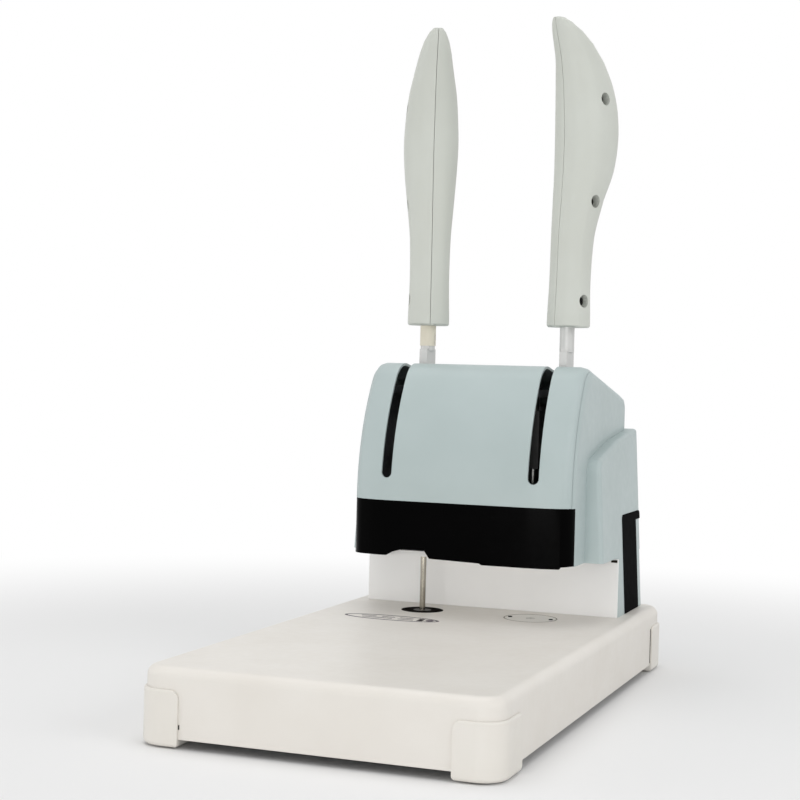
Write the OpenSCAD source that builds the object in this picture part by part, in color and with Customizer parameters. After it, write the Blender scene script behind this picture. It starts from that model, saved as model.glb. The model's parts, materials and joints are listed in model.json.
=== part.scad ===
// Document riveting machine: left lever drills the paper, right lever heats and flattens the rivet tube.
// Frame: origin on the desk under the middle of the base, +X to the operator's right, +Y to the back.

/* [Base] */
// Width of the base body
base_w = 270; // [250:1:300]
// Depth of the base body
base_d = 510; // [490:1:540]
// Height of the base body
base_h = 50.5; // [46:0.5:56]
// Radius of the base's upright corners
base_r = 18; // [12:1:24]
// Radius of the base's top edge
base_edge = 8; // [4:1:10]
// Wall of the base shell
base_wall = 3; // [2:0.5:4]
// Height of the base body's lower edge above the desk
foot_drop = 7; // [5:0.5:9]
// Thickness of the steel bottom plate
floor_t = 2; // [1.5:0.5:3]

/* [Feet] */
// Length of a corner foot along the front
foot_front = 35; // [28:1:45]
// Length of a corner foot along the side
foot_side = 48; // [40:1:60]
// Height of the corner feet
foot_h = 42; // [34:1:44]
// How far the corner feet stand proud of the base
foot_proud = 2; // [1.5:0.5:4]
// Rounding of the feet's upper corners
foot_round = 7; // [3:1:12]
// Radius of the rubber pads
rubber_r = 9; // [6:0.5:12]
// How far the rubber pads stand below the feet
rubber_drop = 1; // [0.5:0.5:2]

/* [Head] */
// Half the width of the head
head_half = 99.5; // [97:0.5:104]
// Front face of the head
head_front = 44.4; // [42:0.2:50]
// How far the front bows back at the head's sides
head_bow = 10; // [4:0.5:12]
// Back face of the head and column
head_back = 245; // [241:1:252]
// Lower edge of the head
head_bottom = 110; // [108:1:114]
// Height where the front starts to lean back
lean_z = 161; // [160:1:170]
// Radius of the front's sweep
front_r = 190; // [180:1:200]
// Radius of the crest
crest_r = 28; // [22:1:34]
// Height of the crest
crest_z = 278.5; // [276:0.5:286]
// Fall of the top towards the back, in degrees
top_fall = 10.2; // [6:0.2:14]
// Radius of the upper rear edge
rear_r = 14; // [8:1:20]
// Rounding of the head's side edges
head_edge = 10; // [6:0.5:12]
// Wall of the head's mouldings
head_wall = 2.2; // [2:0.1:2.6]
// Gap along the seams between mouldings
seam = 0.3; // [0.2:0.05:0.6]

/* [Pods and column] */
// Half the width over the side pods and column, at the table
pod_half = 118.8; // [116:0.2:124]
// Inward lean of the pods' and column's sides, in degrees
pod_lean = 3.2; // [0:0.2:4]
// Front face of the pods
pod_front = 96; // [90:1:104]
// Height of the pods' top line at its knee
pod_knee_z = 214; // [205:1:222]
// Rounding of the pods' edges
pod_edge = 4; // [2:0.5:5]
// Front face of the column
column_front = 145.2; // [144.6:0.2:150]
// First edge of the black side panels
panel_front = 172; // [168:1:180]
// Last edge of the black side panels
panel_back = 226; // [214:1:230]
// Top of the black side panels
panel_top = 139; // [130:1:142]

/* [Visor and slots] */
// Top edge of the visor
visor_top = 159; // [150:1:160]
// Depth of the visor towards the sides
visor_side = 18; // [14:0.5:24]
// Width of the lever slots
slot_w = 9.6; // [9.2:0.1:11]
// Lower end of the lever slots
slot_z = 178.5; // [174:0.5:179]

/* [Levers] */
// Distance of each lever from the middle
lever_x = 66; // [65.5:0.5:67]
// Pivot's distance behind the middle
pivot_y = 144; // [142:0.5:146]
// Pivot's height
pivot_z = 189; // [187:0.5:191]
// Radius of the lever shaft
shaft_r = 7; // [6:0.5:8]
// Swing of the levers, in degrees
swing = 88; // [80:1:90]
// Thickness of the flat arms
arm_t = 7; // [6:0.5:7.5]
// Width of the flat arms
arm_w = 24; // [18:1:24]
// Gap between the round rods and the crest as the levers swing
arm_gap = 2.2; // [1.5:0.1:6]
// Radius of the round rods
rod_r = 6.5; // [5:0.5:7]
// Reach of the round rods from the pivot
rod_reach = 231; // [180:1:260]
// Radius of the sleeve on the left rod
sleeve_r = 7.2; // [7:0.1:8]

/* [Handles] */
// Height of the handles' lower end
grip_z = 314; // [310:1:330]
// Length of the handles
grip_len = 271; // [250:1:290]
// Half depth of the handles at the lower end
grip_a = 19.4; // [17:0.2:24]
// Half thickness of the handles at the lower end
grip_b = 18.6; // [15:0.2:20]
// How far the belly stands out behind the rod
belly_out = 46; // [36:1:50]
// Outward turn of the belly, in degrees
belly_turn = 25; // [0:1:35]
// Radius of the screw recesses
recess_r = 4.5; // [3:0.5:5]

/* [Drive] */
// Gear module
gear_m = 2; // [2:0.5:2]
// Teeth on the whole sector circle
gear_n = 35; // [34:1:36]
// Thickness of the toothed sectors
gear_t = 10; // [8:0.5:10]
// Distance of the sectors from the middle
gear_x = 31; // [30:0.5:32]
// Play between the teeth at the pitch line
play = 0.3; // [0.2:0.05:0.5]

/* [Tools] */
// Distance of the drill and the press from the middle
tool_x = 50.4; // [49.5:0.1:51]
// Tools' distance behind the middle
tool_y = 104; // [103:0.5:104]
// Outer radius of the hollow drill bit
bit_r = 2.6; // [2:0.1:3]
// Bore radius of the hollow drill bit
bit_bore = 1.9; // [1.2:0.1:2.1]
// Length of the drill bit
bit_len = 112; // [108:1:116]
// Radius of the pad dial
dial_r = 18.75; // [18:0.25:24]
// Radius of the cutting pad
pad_r = 8; // [6:0.5:12]
// Radius of the die plate
die_plate_r = 23.5; // [20:0.5:26]
// Height of the spindle's nose with the lever up
nose_z = 161.5; // [160:0.5:163]
// Lower face of the upper die with the lever up
punch_z = 114; // [113:0.5:118]

/* [Frame] */
// Inner faces of the side plates, from the middle
plate_x = 81; // [80:0.5:83]
// Thickness of the side plates
plate_t = 6; // [4:0.5:8]
// Thickness of the lower guide plate
lower_t = 4.5; // [4:0.5:4.5]
// Depth of the upper guide plate's underside below the crest
upper_drop = 26.5; // [26:0.5:28]
// Thickness of the upper guide plate
upper_t = 6; // [4:0.5:6]
// Radius of the guide rods
guide_r = 4; // [3.5:0.25:4.5]
// Guide rods' distance behind the middle
guide_y = 82; // [81:0.5:82.5]
// Running clearance of shafts and rods
fit = 0.05; // [0.03:0.01:0.08]

/* [Springs] */
// Radius of the spring wire
wire_r = 0.7; // [0.5:0.1:0.8]
// Mean radius of the springs
coil_r = 5.6; // [5.4:0.1:5.8]
// Curls of each spring
coil_n = 9; // [7:1:10]

/* [Hidden] */
$fn = 64;

white = [0.93, 0.92, 0.90];
pale = [0.71, 0.77, 0.77];
grip_grey = [0.80, 0.82, 0.81];
black = [0.05, 0.05, 0.06];
steel = [0.72, 0.72, 0.72];
dark_steel = [0.42, 0.43, 0.45];
brass = [0.80, 0.65, 0.33];
rubber = [0.10, 0.10, 0.10];

// Base and table
table_z = foot_drop + base_h;
floor_top = foot_drop + 0.5 + floor_t;
sole_z = rubber_drop;
boss_r = 5;
boss_in = 22;
boss_rows = [foot_side + 17 - base_d / 2, -30, base_d / 2 - 125];
boss_places = [for (x = [-1, 1], y = boss_rows) [x * (base_w / 2 - boss_in), y]];
pad_places = [for (x = [-1, 1], y = [-1, 1]) [x * (base_w / 2 - 14), y * (base_d / 2 - 18)]];
pad_seat = sole_z + 1.5;
frame_flange = 16;
fence_t = 1.5;
fence_front = column_front - fence_t - 0.1;

// Gears: the sector's pitch line carries the rack in front of the pivot
gear_r = gear_m * gear_n / 2;
gear_tip = gear_r + gear_m;
gear_root = gear_r - 1.25 * gear_m;
tooth_pitch = PI * gear_m;
tooth_step = 360 / gear_n;
sector_teeth = ceil(swing / tooth_step) + 2;
travel = gear_r * swing * PI / 180;
rack_y = pivot_y - gear_r;
rack_t = gear_t - 1;
rack_back = rack_y - 8;

// Carriages, at rest
block_z = 190;
block_top = 240;
block_r = 11.2;
guide_x = [33, 55.5];
ram_r = 8;
bearing_r = 9.5;
bearing_h = 7;
spindle_r = 5;
spindle_bore = bit_r + 0.5;
spindle_top = block_top + 10;
chuck_r = 8;
chuck_h = 8;
pulley_z = nose_z + 8.5;
pulley_h = 8;
pulley_r = 13.5;
pulley_rim = 1.5;
motor_pulley_r = 9;
belt_t = 2;
belt_gap = 0.3;
motor_r = 17.5;
motor_z = block_z - 6.5;
motor_top = block_top;

// The crest's centre lies where its arc meets the front's sweep
sweep_c = [head_front + front_r, lean_z];
crest_rise = asin((crest_z - crest_r - lean_z) / (front_r - crest_r));
crest_c = [sweep_c[0] - (front_r - crest_r) * cos(crest_rise), crest_z - crest_r];

// Levers
hub_r = 12;
neck_r = 9.5;
flange_r = 19;
eye_r = 17;
arm_screw_r = 13.4;
arm_x0 = lever_x - arm_t / 2;
arm_x1 = lever_x + arm_t / 2;
slot_end = pivot_y + arm_w / 2 + 2;
stud_r = 4;
crest_reach = norm(crest_c - [pivot_y, pivot_z]) + crest_r;
arm_reach = crest_reach + arm_gap;
rod_z0 = pivot_z + arm_reach;
rod_z1 = pivot_z + rod_reach;

// Head plates
lower_z = head_bottom + 0.5;
lower_top = lower_z + lower_t;
visor_low = head_bottom - 1.8;
upper_z = crest_z - upper_drop;
ring_t = 1.2;
cover_half = head_half - head_wall - seam;
cover_back = slot_end + 6;
grid = 0.01;

// ---------- helpers ----------

// Right-hand pieces are drawn; side(-1) gives their left-hand twins
module side(s) {
    if (s < 0) mirror([1, 0, 0]) children();
    else children();
}

// Extrudes a (y, z) outline along x, from x0 to x0 + t
module along_x(x0, t) {
    translate([x0, 0, 0]) rotate([90, 0, 90]) linear_extrude(t) children();
}

// Extrudes an (x, z) outline along y, from y0 to y0 + t
module along_y(y0, t) {
    translate([0, y0 + t, 0]) rotate([90, 0, 0]) linear_extrude(t) children();
}

// A cylinder along x
module rod_x(x0, x1, r, y, z) {
    translate([x0, y, z]) rotate([0, 90, 0]) cylinder(r = r, h = x1 - x0);
}

// A cylinder along z
module rod_z(x, y, z0, z1, r) {
    translate([x, y, z0]) cylinder(r = r, h = z1 - z0);
}

module box(low, high) {
    translate(low) cube(high - low);
}

module round_rect(w, d, r) {
    square([w - 2 * r, d], center = true);
    square([w, d - 2 * r], center = true);
    for (x = [-1, 1], y = [-1, 1]) translate([x * (w / 2 - r), y * (d / 2 - r)]) circle(r);
}

// Upright half profile of a slab: a rectangle with its outer top corner rounded
module slab_profile(r, h, e) {
    square([r - e, h]);
    square([r, h - e]);
    intersection() {
        translate([r - e, h - e]) circle(e);
        square([r, h]);
    }
}

// A rounded slab with a rolled top edge
module slab(w, d, h, r, e) {
    cube_w = w - 2 * r;
    cube_d = d - 2 * r;
    translate([-cube_w / 2, -cube_d / 2, 0]) cube([cube_w, cube_d, h]);
    for (x = [-1, 1], y = [-1, 1])
        translate([x * cube_w / 2, y * cube_d / 2, 0]) rotate_extrude() slab_profile(r, h, e);
    for (a = [0, 180])
        rotate([0, 0, a]) {
            translate([cube_w / 2, cube_d / 2, 0])
                rotate([90, 0, 0]) linear_extrude(cube_d) slab_profile(r, h, e);
            translate([-cube_w / 2, cube_d / 2, 0])
                rotate([90, 0, 90]) linear_extrude(cube_w) slab_profile(r, h, e);
        }
}

// Two triangles over four corners
function quad(a, b, c, d) = [[a, b, c], [a, c, d]];

// Faces of a loft: rows of n points each, with a cap on both ends
function loft_faces(rows, n) = concat(
    [[for (j = [n - 1:-1:0]) j]],
    [[for (j = [0:n - 1]) (rows - 1) * n + j]],
    [for (i = [0:rows - 2], j = [0:n - 1]) let (k = (j + 1) % n)
        each quad(i * n + j, i * n + k, (i + 1) * n + k, (i + 1) * n + j)]
);

// Points of an arc, with its angles from +x of the outline
function arc(c, r, a0, a1, n) = [for (i = [0:n]) let (a = a0 + (a1 - a0) * i / n) c + r * [cos(a), sin(a)]];

// ---------- head and pod outlines, in (y, z), drawn in by an inset ----------

fall = 90 - top_fall;
rear_c = [
    head_back - rear_r,
    crest_c[1] + (crest_r - rear_r) / sin(fall) - (head_back - rear_r - crest_c[0]) * tan(top_fall)
];

// The front lies further back towards the sides
bow_start = 60;
function bow(x) = head_bow * pow(max(0, x - bow_start) / (head_half - bow_start), 2);

function head_outline(in, low, back) = concat(
    [[head_front + back + in, low]],
    arc(sweep_c + [back, 0], front_r - in, 180, 180 - crest_rise, 12),
    arc(crest_c + [back, 0], crest_r - in, 180 - crest_rise, fall, 12),
    arc(rear_c, rear_r - in, fall, 0, 6),
    [[head_back - in, low]]
);

// The pod's top line rises to a knee and then runs flatter
pod_fillet = 12;
column_edge = 6;
pod_knee_y = 170;
pod_rise = 12.5;
pod_flat = 6.5;
pod_slope = tan(pod_lean);
function pod_at(z) = pod_half - pod_slope * (z - table_z);
pod_c = [
    pod_front + pod_fillet,
    pod_knee_z - (pod_knee_y - pod_front - pod_fillet) * tan(pod_rise) - pod_fillet / cos(pod_rise)
];

function pod_outline(in, low) = concat(
    [[pod_front + in, low]],
    arc(pod_c, pod_fillet - in, 180, 90 + pod_rise, 6),
    [
        [pod_knee_y, pod_knee_z - in],
        [head_back - in, pod_knee_z + (head_back - pod_knee_y) * tan(pod_flat) - in],
        [head_back - in, low]
    ]
);

function column_outline(in, low, high) = [
    [column_front + in, low], [column_front + in, high], [head_back - in, high], [head_back - in, low]
];

// The rolled side edge of a body: distance from its middle and inset, from the flat face outwards
function edge_steps(half, edge, in) = [
    for (a = [0, 30, 60, 90]) [half - in - (edge - in) * (1 - sin(a)), in + (edge - in) * (1 - cos(a))]
];

// Both sides of a list of steps, from the left to the right
function both_sides(steps) = concat(
    [for (i = [len(steps) - 1:-1:0]) [-steps[i][0], steps[i][1]]],
    steps
);

// A loft across (y, z) outlines at distances x; a slope leans its sides in from the table upwards
module loft_across(xs, outlines, slope) {
    polyhedron(
        points = [for (i = [0:len(xs) - 1], p = outlines[i])
            [xs[i] - sign(xs[i]) * slope * (p[1] - table_z), p[0], p[1]]],
        faces = loft_faces(len(xs), len(outlines[0]))
    );
}

// The head's solid, its wall drawn in by "in"
module head_solid(in) {
    rim = edge_steps(head_half, head_edge, in);
    steps = both_sides(concat([[bow_start, in], [(bow_start + rim[0][0]) / 2, in]], rim));
    loft_across([for (p = steps) p[0]], [for (p = steps) head_outline(p[1], visor_low, bow(abs(p[0])))], 0);
}

module pod_solid(in) {
    steps = both_sides(edge_steps(pod_half, pod_edge, in));
    loft_across([for (p = steps) p[0]], [for (p = steps) pod_outline(p[1], head_bottom)], pod_slope);
}

// The column below the head; its hollow runs out at both ends
module column_solid(in) {
    low = in > 0 ? table_z - 1 : table_z;
    high = in > 0 ? head_bottom + 1.5 : head_bottom + 1;
    steps = both_sides(edge_steps(pod_half, column_edge, in));
    loft_across([for (p = steps) p[0]], [for (p = steps) column_outline(p[1], low, high)], pod_slope);
}

// ---------- base ----------

module base_shell() {
    color(white) difference() {
        union() {
            difference() {
                translate([0, 0, foot_drop]) slab(base_w, base_d, base_h, base_r, base_edge);
                translate([0, 0, foot_drop - 1])
                    slab(base_w - 2 * base_wall, base_d - 2 * base_wall, base_h - base_wall + 1,
                         base_r - base_wall, base_edge - base_wall);
            }
            for (p = boss_places) rod_z(p[0], p[1], floor_top + 0.1, table_z - 1, boss_r);
        }
        for (p = boss_places) rod_z(p[0], p[1], floor_top - 1, floor_top + 14, 1.6);
        rod_z(-tool_x, tool_y, table_z - base_wall - 1, table_z + 1, dial_r + seam);
        rod_z(tool_x, tool_y, table_z - base_wall - 1, table_z + 1, die_plate_r + seam);
        // Opening that the steel frame stands in
        box([-plate_x - plate_t - frame_flange - 6, column_front + 6, table_z - base_wall - 1],
            [plate_x + plate_t + frame_flange + 6, head_back - 6, table_z + 1]);
    }
}

module bottom_plate() {
    color(dark_steel) difference() {
        translate([0, 0, foot_drop + 0.5]) linear_extrude(floor_t)
            round_rect(base_w - 2 * base_wall - 1, base_d - 2 * base_wall - 1, base_r - base_wall);
        for (p = boss_places) rod_z(p[0], p[1], 0, floor_top + 1, 1.7);
        // Cooling louvres
        for (i = [-4:4])
            box([-40, -120 + i * 9, 0], [40, -116 + i * 9, floor_top + 1]);
    }
}

module base_screws() {
    color(steel) for (p = boss_places) {
        rod_z(p[0], p[1], foot_drop - 1.3, foot_drop + 0.5, 3);
        rod_z(p[0], p[1], foot_drop + 0.4, floor_top + 12, 1.5);
    }
}

// One corner foot: a cap round the corner with a sole under it
module foot(sx, sy) {
    x0 = base_w / 2 + foot_proud - foot_front;
    y0 = base_d / 2 + foot_proud - foot_side;
    far = base_d;
    color(white) mirror([sx < 0 ? 1 : 0, 0, 0]) mirror([0, sy < 0 ? 1 : 0, 0]) difference() {
        intersection() {
            translate([0, 0, sole_z])
                slab(base_w + 2 * foot_proud, base_d + 2 * foot_proud, foot_h - sole_z,
                     base_r + foot_proud, foot_proud);
            along_y(0, far) cap_outline(x0);
            along_x(0, far) cap_outline(y0);
        }
        translate([0, 0, foot_drop])
            slab(base_w + 0.2, base_d + 0.2, base_h, base_r, base_edge);
        rod_z(pad_places[3][0], pad_places[3][1], 0, pad_seat, rubber_r + fit);
    }
}

// A foot's face: its upper inner corner is rounded
module cap_outline(start) {
    translate([start, 0]) square([base_d, foot_h - foot_round]);
    translate([start + foot_round, 0]) square([base_d, foot_h + 1]);
    translate([start + foot_round, foot_h - foot_round]) circle(foot_round);
}

module foot_front_left() { foot(-1, -1); }
module foot_front_right() { foot(1, -1); }
module foot_rear_left() { foot(-1, 1); }
module foot_rear_right() { foot(1, 1); }

module rubber_pads() {
    color(rubber) for (p = pad_places) rod_z(p[0], p[1], 0, pad_seat, rubber_r);
}

// ---------- table tools ----------

dial_t = 5.5;
dial_pin_r = 3;
pad_t = 2.8;

module pad_post() {
    color(steel) {
        rod_z(-tool_x, tool_y, floor_top, table_z - dial_t - 4, 10);
        rod_z(-tool_x, tool_y, floor_top, floor_top + 4, 18);
        rod_z(-tool_x, tool_y, table_z - dial_t - 4.5, table_z - dial_t - 0.1, dial_r - 1);
        rod_z(-tool_x, tool_y, table_z - dial_t - 1, table_z - pad_t - 0.3, dial_pin_r);
    }
}

module pad_dial() {
    color(black) difference() {
        rod_z(-tool_x, tool_y, table_z - dial_t, table_z, dial_r);
        rod_z(-tool_x, tool_y, table_z - pad_t, table_z + 1, pad_r);
        rod_z(-tool_x, tool_y, table_z - dial_t - 1, table_z, dial_pin_r + fit);
        // Finger dimples for turning the dial
        for (a = [0:60:300]) translate([-tool_x, tool_y, table_z])
            rotate([0, 0, a]) translate([14.5, 0, 0.9]) sphere(r = 2.2);
    }
}

module cutting_pad() {
    color(white) rod_z(-tool_x, tool_y, table_z - pad_t, table_z, pad_r - 0.1);
}

module die_post() {
    color(steel) {
        rod_z(tool_x, tool_y, floor_top, table_z - base_wall - 4, 12);
        rod_z(tool_x, tool_y, floor_top, floor_top + 4, 20);
        rod_z(tool_x, tool_y, table_z - base_wall - 4.5, table_z - base_wall, die_plate_r - 1);
    }
}

die_screw_x = 18.5;
die_r = 4;

module die_plate() {
    color(white) difference() {
        rod_z(tool_x, tool_y, table_z - base_wall, table_z, die_plate_r);
        rod_z(tool_x, tool_y, table_z - base_wall - 1, table_z + 1, die_r + fit);
        for (s = [-1, 1]) rod_z(tool_x + s * die_screw_x, tool_y, table_z - base_wall - 1, table_z + 1, 2.1);
    }
}

module die_plate_screws() {
    color(dark_steel) for (s = [-1, 1]) difference() {
        rod_z(tool_x + s * die_screw_x, tool_y, table_z - base_wall, table_z - 0.4, 2);
        rod_z(tool_x + s * die_screw_x, tool_y, table_z - 1.4, table_z, 1.1);
    }
}

module lower_die() {
    color(steel) difference() {
        rod_z(tool_x, tool_y, table_z - base_wall, table_z + 0.2, die_r);
        rod_z(tool_x, tool_y, table_z - 1.5, table_z + 1, 1.3);
    }
}

// ---------- housing ----------

module fence() {
    color(white) {
        box([-pod_half + 0.3, fence_front, table_z],
            [pod_half - 0.3, fence_front + fence_t, head_bottom - 0.5]);
        // Tabs that hook the sheet to the column
        for (s = [-1, 1])
            box([s * 60 - 12, fence_front + fence_t - 0.2, table_z + 20],
                [s * 60 + 12, column_front - seam / 3, table_z + 32]);
    }
}

// Turns a right-hand piece about the column's foot to lie on the leaning side
module leaning() {
    translate([pod_half, 0, table_z]) rotate([0, -pod_lean, 0])
        translate([-pod_half, 0, -table_z]) children();
}

// Black panel's outline on the side: an upright strip with a rounded cap that runs to the rear
cap_h = 7.5;
cap_back = head_back - 2.5;

module panel_outline(gap) {
    low = table_z + 0.3 - gap;
    translate([panel_front - gap, low]) square([panel_back - panel_front + 2 * gap, panel_top - low + 0.1]);
    translate([panel_front - gap, panel_top - 0.1])
        square([cap_back - panel_front + 2 * gap, cap_h * 0.5 + 0.1 + gap]);
    for (y = [panel_front + cap_h / 2, cap_back - cap_h / 2])
        translate([y, panel_top + cap_h / 2]) circle(cap_h / 2 + gap);
    translate([panel_front + cap_h / 2, panel_top])
        square([cap_back - panel_front - cap_h, cap_h + gap]);
}

rear_half = head_half - 7.5;
rear_low = table_z + 6;
rear_top = pod_knee_z + 1;

module housing() {
    color(pale) difference() {
        union() {
            head_solid(0);
            pod_solid(0);
            column_solid(0);
        }
        head_solid(head_wall);
        pod_solid(head_wall);
        column_solid(head_wall);
        // Everything below the head's lower edge, in front of the column
        box([-pod_half - 1, head_front - 1, visor_low - 1], [pod_half + 1, column_front, head_bottom]);
        box([-pod_at(head_bottom) + head_wall, pod_front + head_wall, head_bottom - 1],
            [pod_at(head_bottom) - head_wall, column_front + head_wall + 1, head_bottom + 1.5]);
        box([-head_half + head_wall, head_front, head_bottom - 1],
            [head_half - head_wall, column_front, head_bottom + 2]);
        // Room for the front cover and for the visor
        box([-cover_half - seam, head_front - 1, visor_top - seam / 2],
            [cover_half + seam, cover_back + seam, crest_z + 1]);
        box([-head_half - 1, head_front - 1, visor_low - 1],
            [head_half + 1, head_front + visor_side + seam, visor_top]);
        // Room for the black side panels
        for (s = [-1, 1]) side(s) leaning()
            along_x(pod_half - head_wall - 1, head_wall + 3) panel_outline(seam);
        // Room for the rear panel
        box([-rear_half - seam, head_back - head_wall - 1, rear_low - seam],
            [rear_half + seam, head_back + 1, rear_top + seam]);
    }
}

module slot_cut() {
    r = slot_w / 2;
    along_y(head_front - 5, slot_end - r - head_front + 5) {
        translate([lever_x, slot_z + r]) circle(r);
        translate([lever_x - r, slot_z + r]) square([slot_w, crest_z - slot_z]);
    }
    rod_z(lever_x, slot_end - r, pivot_z, crest_z + 5, r);
}

module front_cover() {
    color(pale) difference() {
        intersection() {
            difference() {
                head_solid(0);
                head_solid(head_wall);
            }
            box([-cover_half, head_front - 1, visor_top + seam / 2], [cover_half, cover_back, crest_z + 1]);
        }
        for (s = [-1, 1]) side(s) slot_cut();
    }
}

// The visor's lower edge steps up over the drill and down to a thin lip on the right
visor_edge = [
    [-head_half - 1, 2.8], [-64.2, 3.2], [-58.2, 6.6], [-48.2, 9.4], [-29.3, 9.5], [-24.2, 2.5],
    [20.8, 1.3], [22.8, 0], [89.2, 0], [90.6, 1.8], [head_half + 1, 2.4]
];

module visor() {
    color(black) intersection() {
        difference() {
            head_solid(0);
            head_solid(head_wall);
        }
        box([-head_half - 1, head_front - 1, visor_low],
            [head_half + 1, head_front + visor_side, visor_top]);
        along_y(head_front - 1, visor_side + 2)
            polygon(concat([for (p = visor_edge) [p[0], visor_low + p[1]]],
                           [[head_half + 1, visor_top], [-head_half - 1, visor_top]]));
    }
}

module side_panel() {
    color(black) leaning() {
        along_x(pod_half - head_wall, head_wall + 0.6) panel_outline(0);
        // Flange behind the column's wall
        box([pod_half - head_wall - 2, panel_front - 4, table_z + 1],
            [pod_half - head_wall - seam, panel_back + 4, panel_top + 3]);
        box([pod_half - head_wall - 1, panel_front + 5, table_z + 5],
            [pod_half - head_wall + 0.5, panel_back - 5, panel_top]);
    }
}

module side_panel_left() { side(-1) side_panel(); }
module side_panel_right() { side_panel(); }

inlet_x = [-70, -22];
inlet_z = [78, 106];
rocker_x = -32;
rocker_r = 12;
rocker_w = 11;

module rear_panel() {
    color(pale) difference() {
        union() {
            box([-rear_half, head_back - head_wall, rear_low], [rear_half, head_back - 0.4, rear_top]);
            box([-rear_half - 4, head_back - head_wall - 2.3, rear_low - 4],
                [rear_half + 4, head_back - head_wall - seam, rear_top + 4]);
            box([-rear_half + 2, head_back - head_wall - 1, rear_low + 2],
                [rear_half - 2, head_back - head_wall + 1, rear_top - 2]);
        }
        box([inlet_x[0] + 2, head_back - 8, inlet_z[0] + 2],
            [inlet_x[1] - 2, head_back + 1, inlet_z[1] - 2]);
        for (p = rear_screw_places) translate([p[0], head_back + 1, p[1]])
            rotate([90, 0, 0]) cylinder(r = 1.8, h = 8);
        // Cooling slots
        for (i = [0:9], s = [-1, 1])
            box([s * 44 - 30, head_back - 8, 150 + i * 7], [s * 44 + 30, head_back + 1, 153 + i * 7]);
    }
}

rear_screw_places = [for (x = [-1, 1], z = [rear_low + 8, 130, rear_top - 6]) [x * (rear_half - 8), z]];

module rear_panel_screws() {
    color(steel) for (p = rear_screw_places) translate([p[0], head_back + 1.4, p[1]]) rotate([90, 0, 0]) {
        cylinder(r = 3.2, h = 1.8);
        cylinder(r = 1.7, h = 7.5);
    }
}

module power_inlet() {
    z_mid = (inlet_z[0] + inlet_z[1]) / 2;
    color(black) difference() {
        union() {
            box([inlet_x[0], head_back - 0.4, inlet_z[0]], [inlet_x[1], head_back + 2, inlet_z[1]]);
            box([inlet_x[0] + 2.2, head_back - 26, inlet_z[0] + 2.2],
                [inlet_x[1] - 2.2, head_back, inlet_z[1] - 2.2]);
        }
        box([inlet_x[0] + 4.5, head_back - 17, inlet_z[0] + 5],
            [inlet_x[0] + 27, head_back + 3, inlet_z[1] - 5]);
        rod_x(rocker_x - rocker_w / 2 - 0.2, rocker_x + rocker_w / 2 + 0.2, rocker_r + 0.2,
              head_back - 8, z_mid);
        box([rocker_x - rocker_w / 2 - 0.2, head_back - 8, z_mid - 10],
            [rocker_x + rocker_w / 2 + 0.2, head_back + 3, z_mid + 10]);
    }
    // Contact blades in the inlet
    color(steel) for (x = [-7, 0, 7])
        box([inlet_x[0] + 15 + x, head_back - 17.5, z_mid - 2 + (x == 0 ? 4 : 0)],
            [inlet_x[0] + 17 + x, head_back - 3, z_mid + 2 + (x == 0 ? 4 : 0)]);
}

// A rocker with a pressed-in half, turning about a line inside the inlet's body
module power_switch() {
    z_mid = (inlet_z[0] + inlet_z[1]) / 2;
    color(rubber) difference() {
        rod_x(rocker_x - rocker_w / 2, rocker_x + rocker_w / 2, rocker_r, head_back - 8, z_mid);
        translate([rocker_x - rocker_w / 2 - 1, head_back - 8, z_mid]) rotate([8, 0, 0]) {
            translate([0, 6, 6.5]) cube([rocker_w + 2, 20, 20]);
            translate([0, 6, -26.5]) cube([rocker_w + 2, 20, 20]);
            translate([0, 8.5, 0]) cube([rocker_w + 2, 20, 20]);
            translate([0, 9.8, -20]) cube([rocker_w + 2, 20, 20.1]);
        }
    }
}

// ---------- steel frame ----------

plate_front = head_front + 13.6;
plate_back = head_back - 13;
plate_step = column_front + 15;
upper_front = guide_y - guide_r - 1.2;
upper_back = pivot_y + 46;
upper_top = upper_z + upper_t;
plate_points = [
    [plate_front, lower_z], [plate_step, lower_z], [plate_step, floor_top], [plate_back, floor_top],
    [plate_back, upper_top - 24], [upper_back, upper_top], [guide_y + 1, upper_top],
    [plate_front, upper_top - 58]
];

// Lightening holes: place and radius
light_holes = [
    [(plate_step + plate_back) / 2, table_z + 22.5, 18], [(plate_step + plate_back) / 2, table_z + 82.5, 18],
    [plate_front + 40, lower_z + 39.5, 16]
];

module frame_plate() {
    color(dark_steel) difference() {
        union() {
            along_x(plate_x, plate_t) polygon(plate_points);
            // Bolted foot of the plate
            box([plate_x, plate_step, floor_top],
                [plate_x + plate_t + frame_flange, plate_back, floor_top + 6]);
        }
        rod_x(plate_x - 1, plate_x + plate_t + 1, shaft_r + fit, pivot_y, pivot_z);
        for (p = light_holes) rod_x(plate_x - 1, plate_x + plate_t + 1, p[2], p[0], p[1]);
    }
}

module frame_plate_left() { side(-1) frame_plate(); }
module frame_plate_right() { frame_plate(); }

// All four guide rod places
module each_guide() {
    for (s = [-1, 1], x = guide_x) translate([s * x, guide_y, 0]) children();
}

module lower_plate() {
    color(dark_steel) difference() {
        box([-plate_x, plate_front + 2, lower_z], [plate_x, plate_step - 4, lower_top]);
        rod_z(-tool_x, tool_y, lower_z - 1, lower_top + 1, chuck_r + 1.5);
        rod_z(tool_x, tool_y, lower_z - 1, lower_top + 1, 15);
        each_guide() cylinder(r = guide_r, h = crest_z);
    }
}

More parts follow.
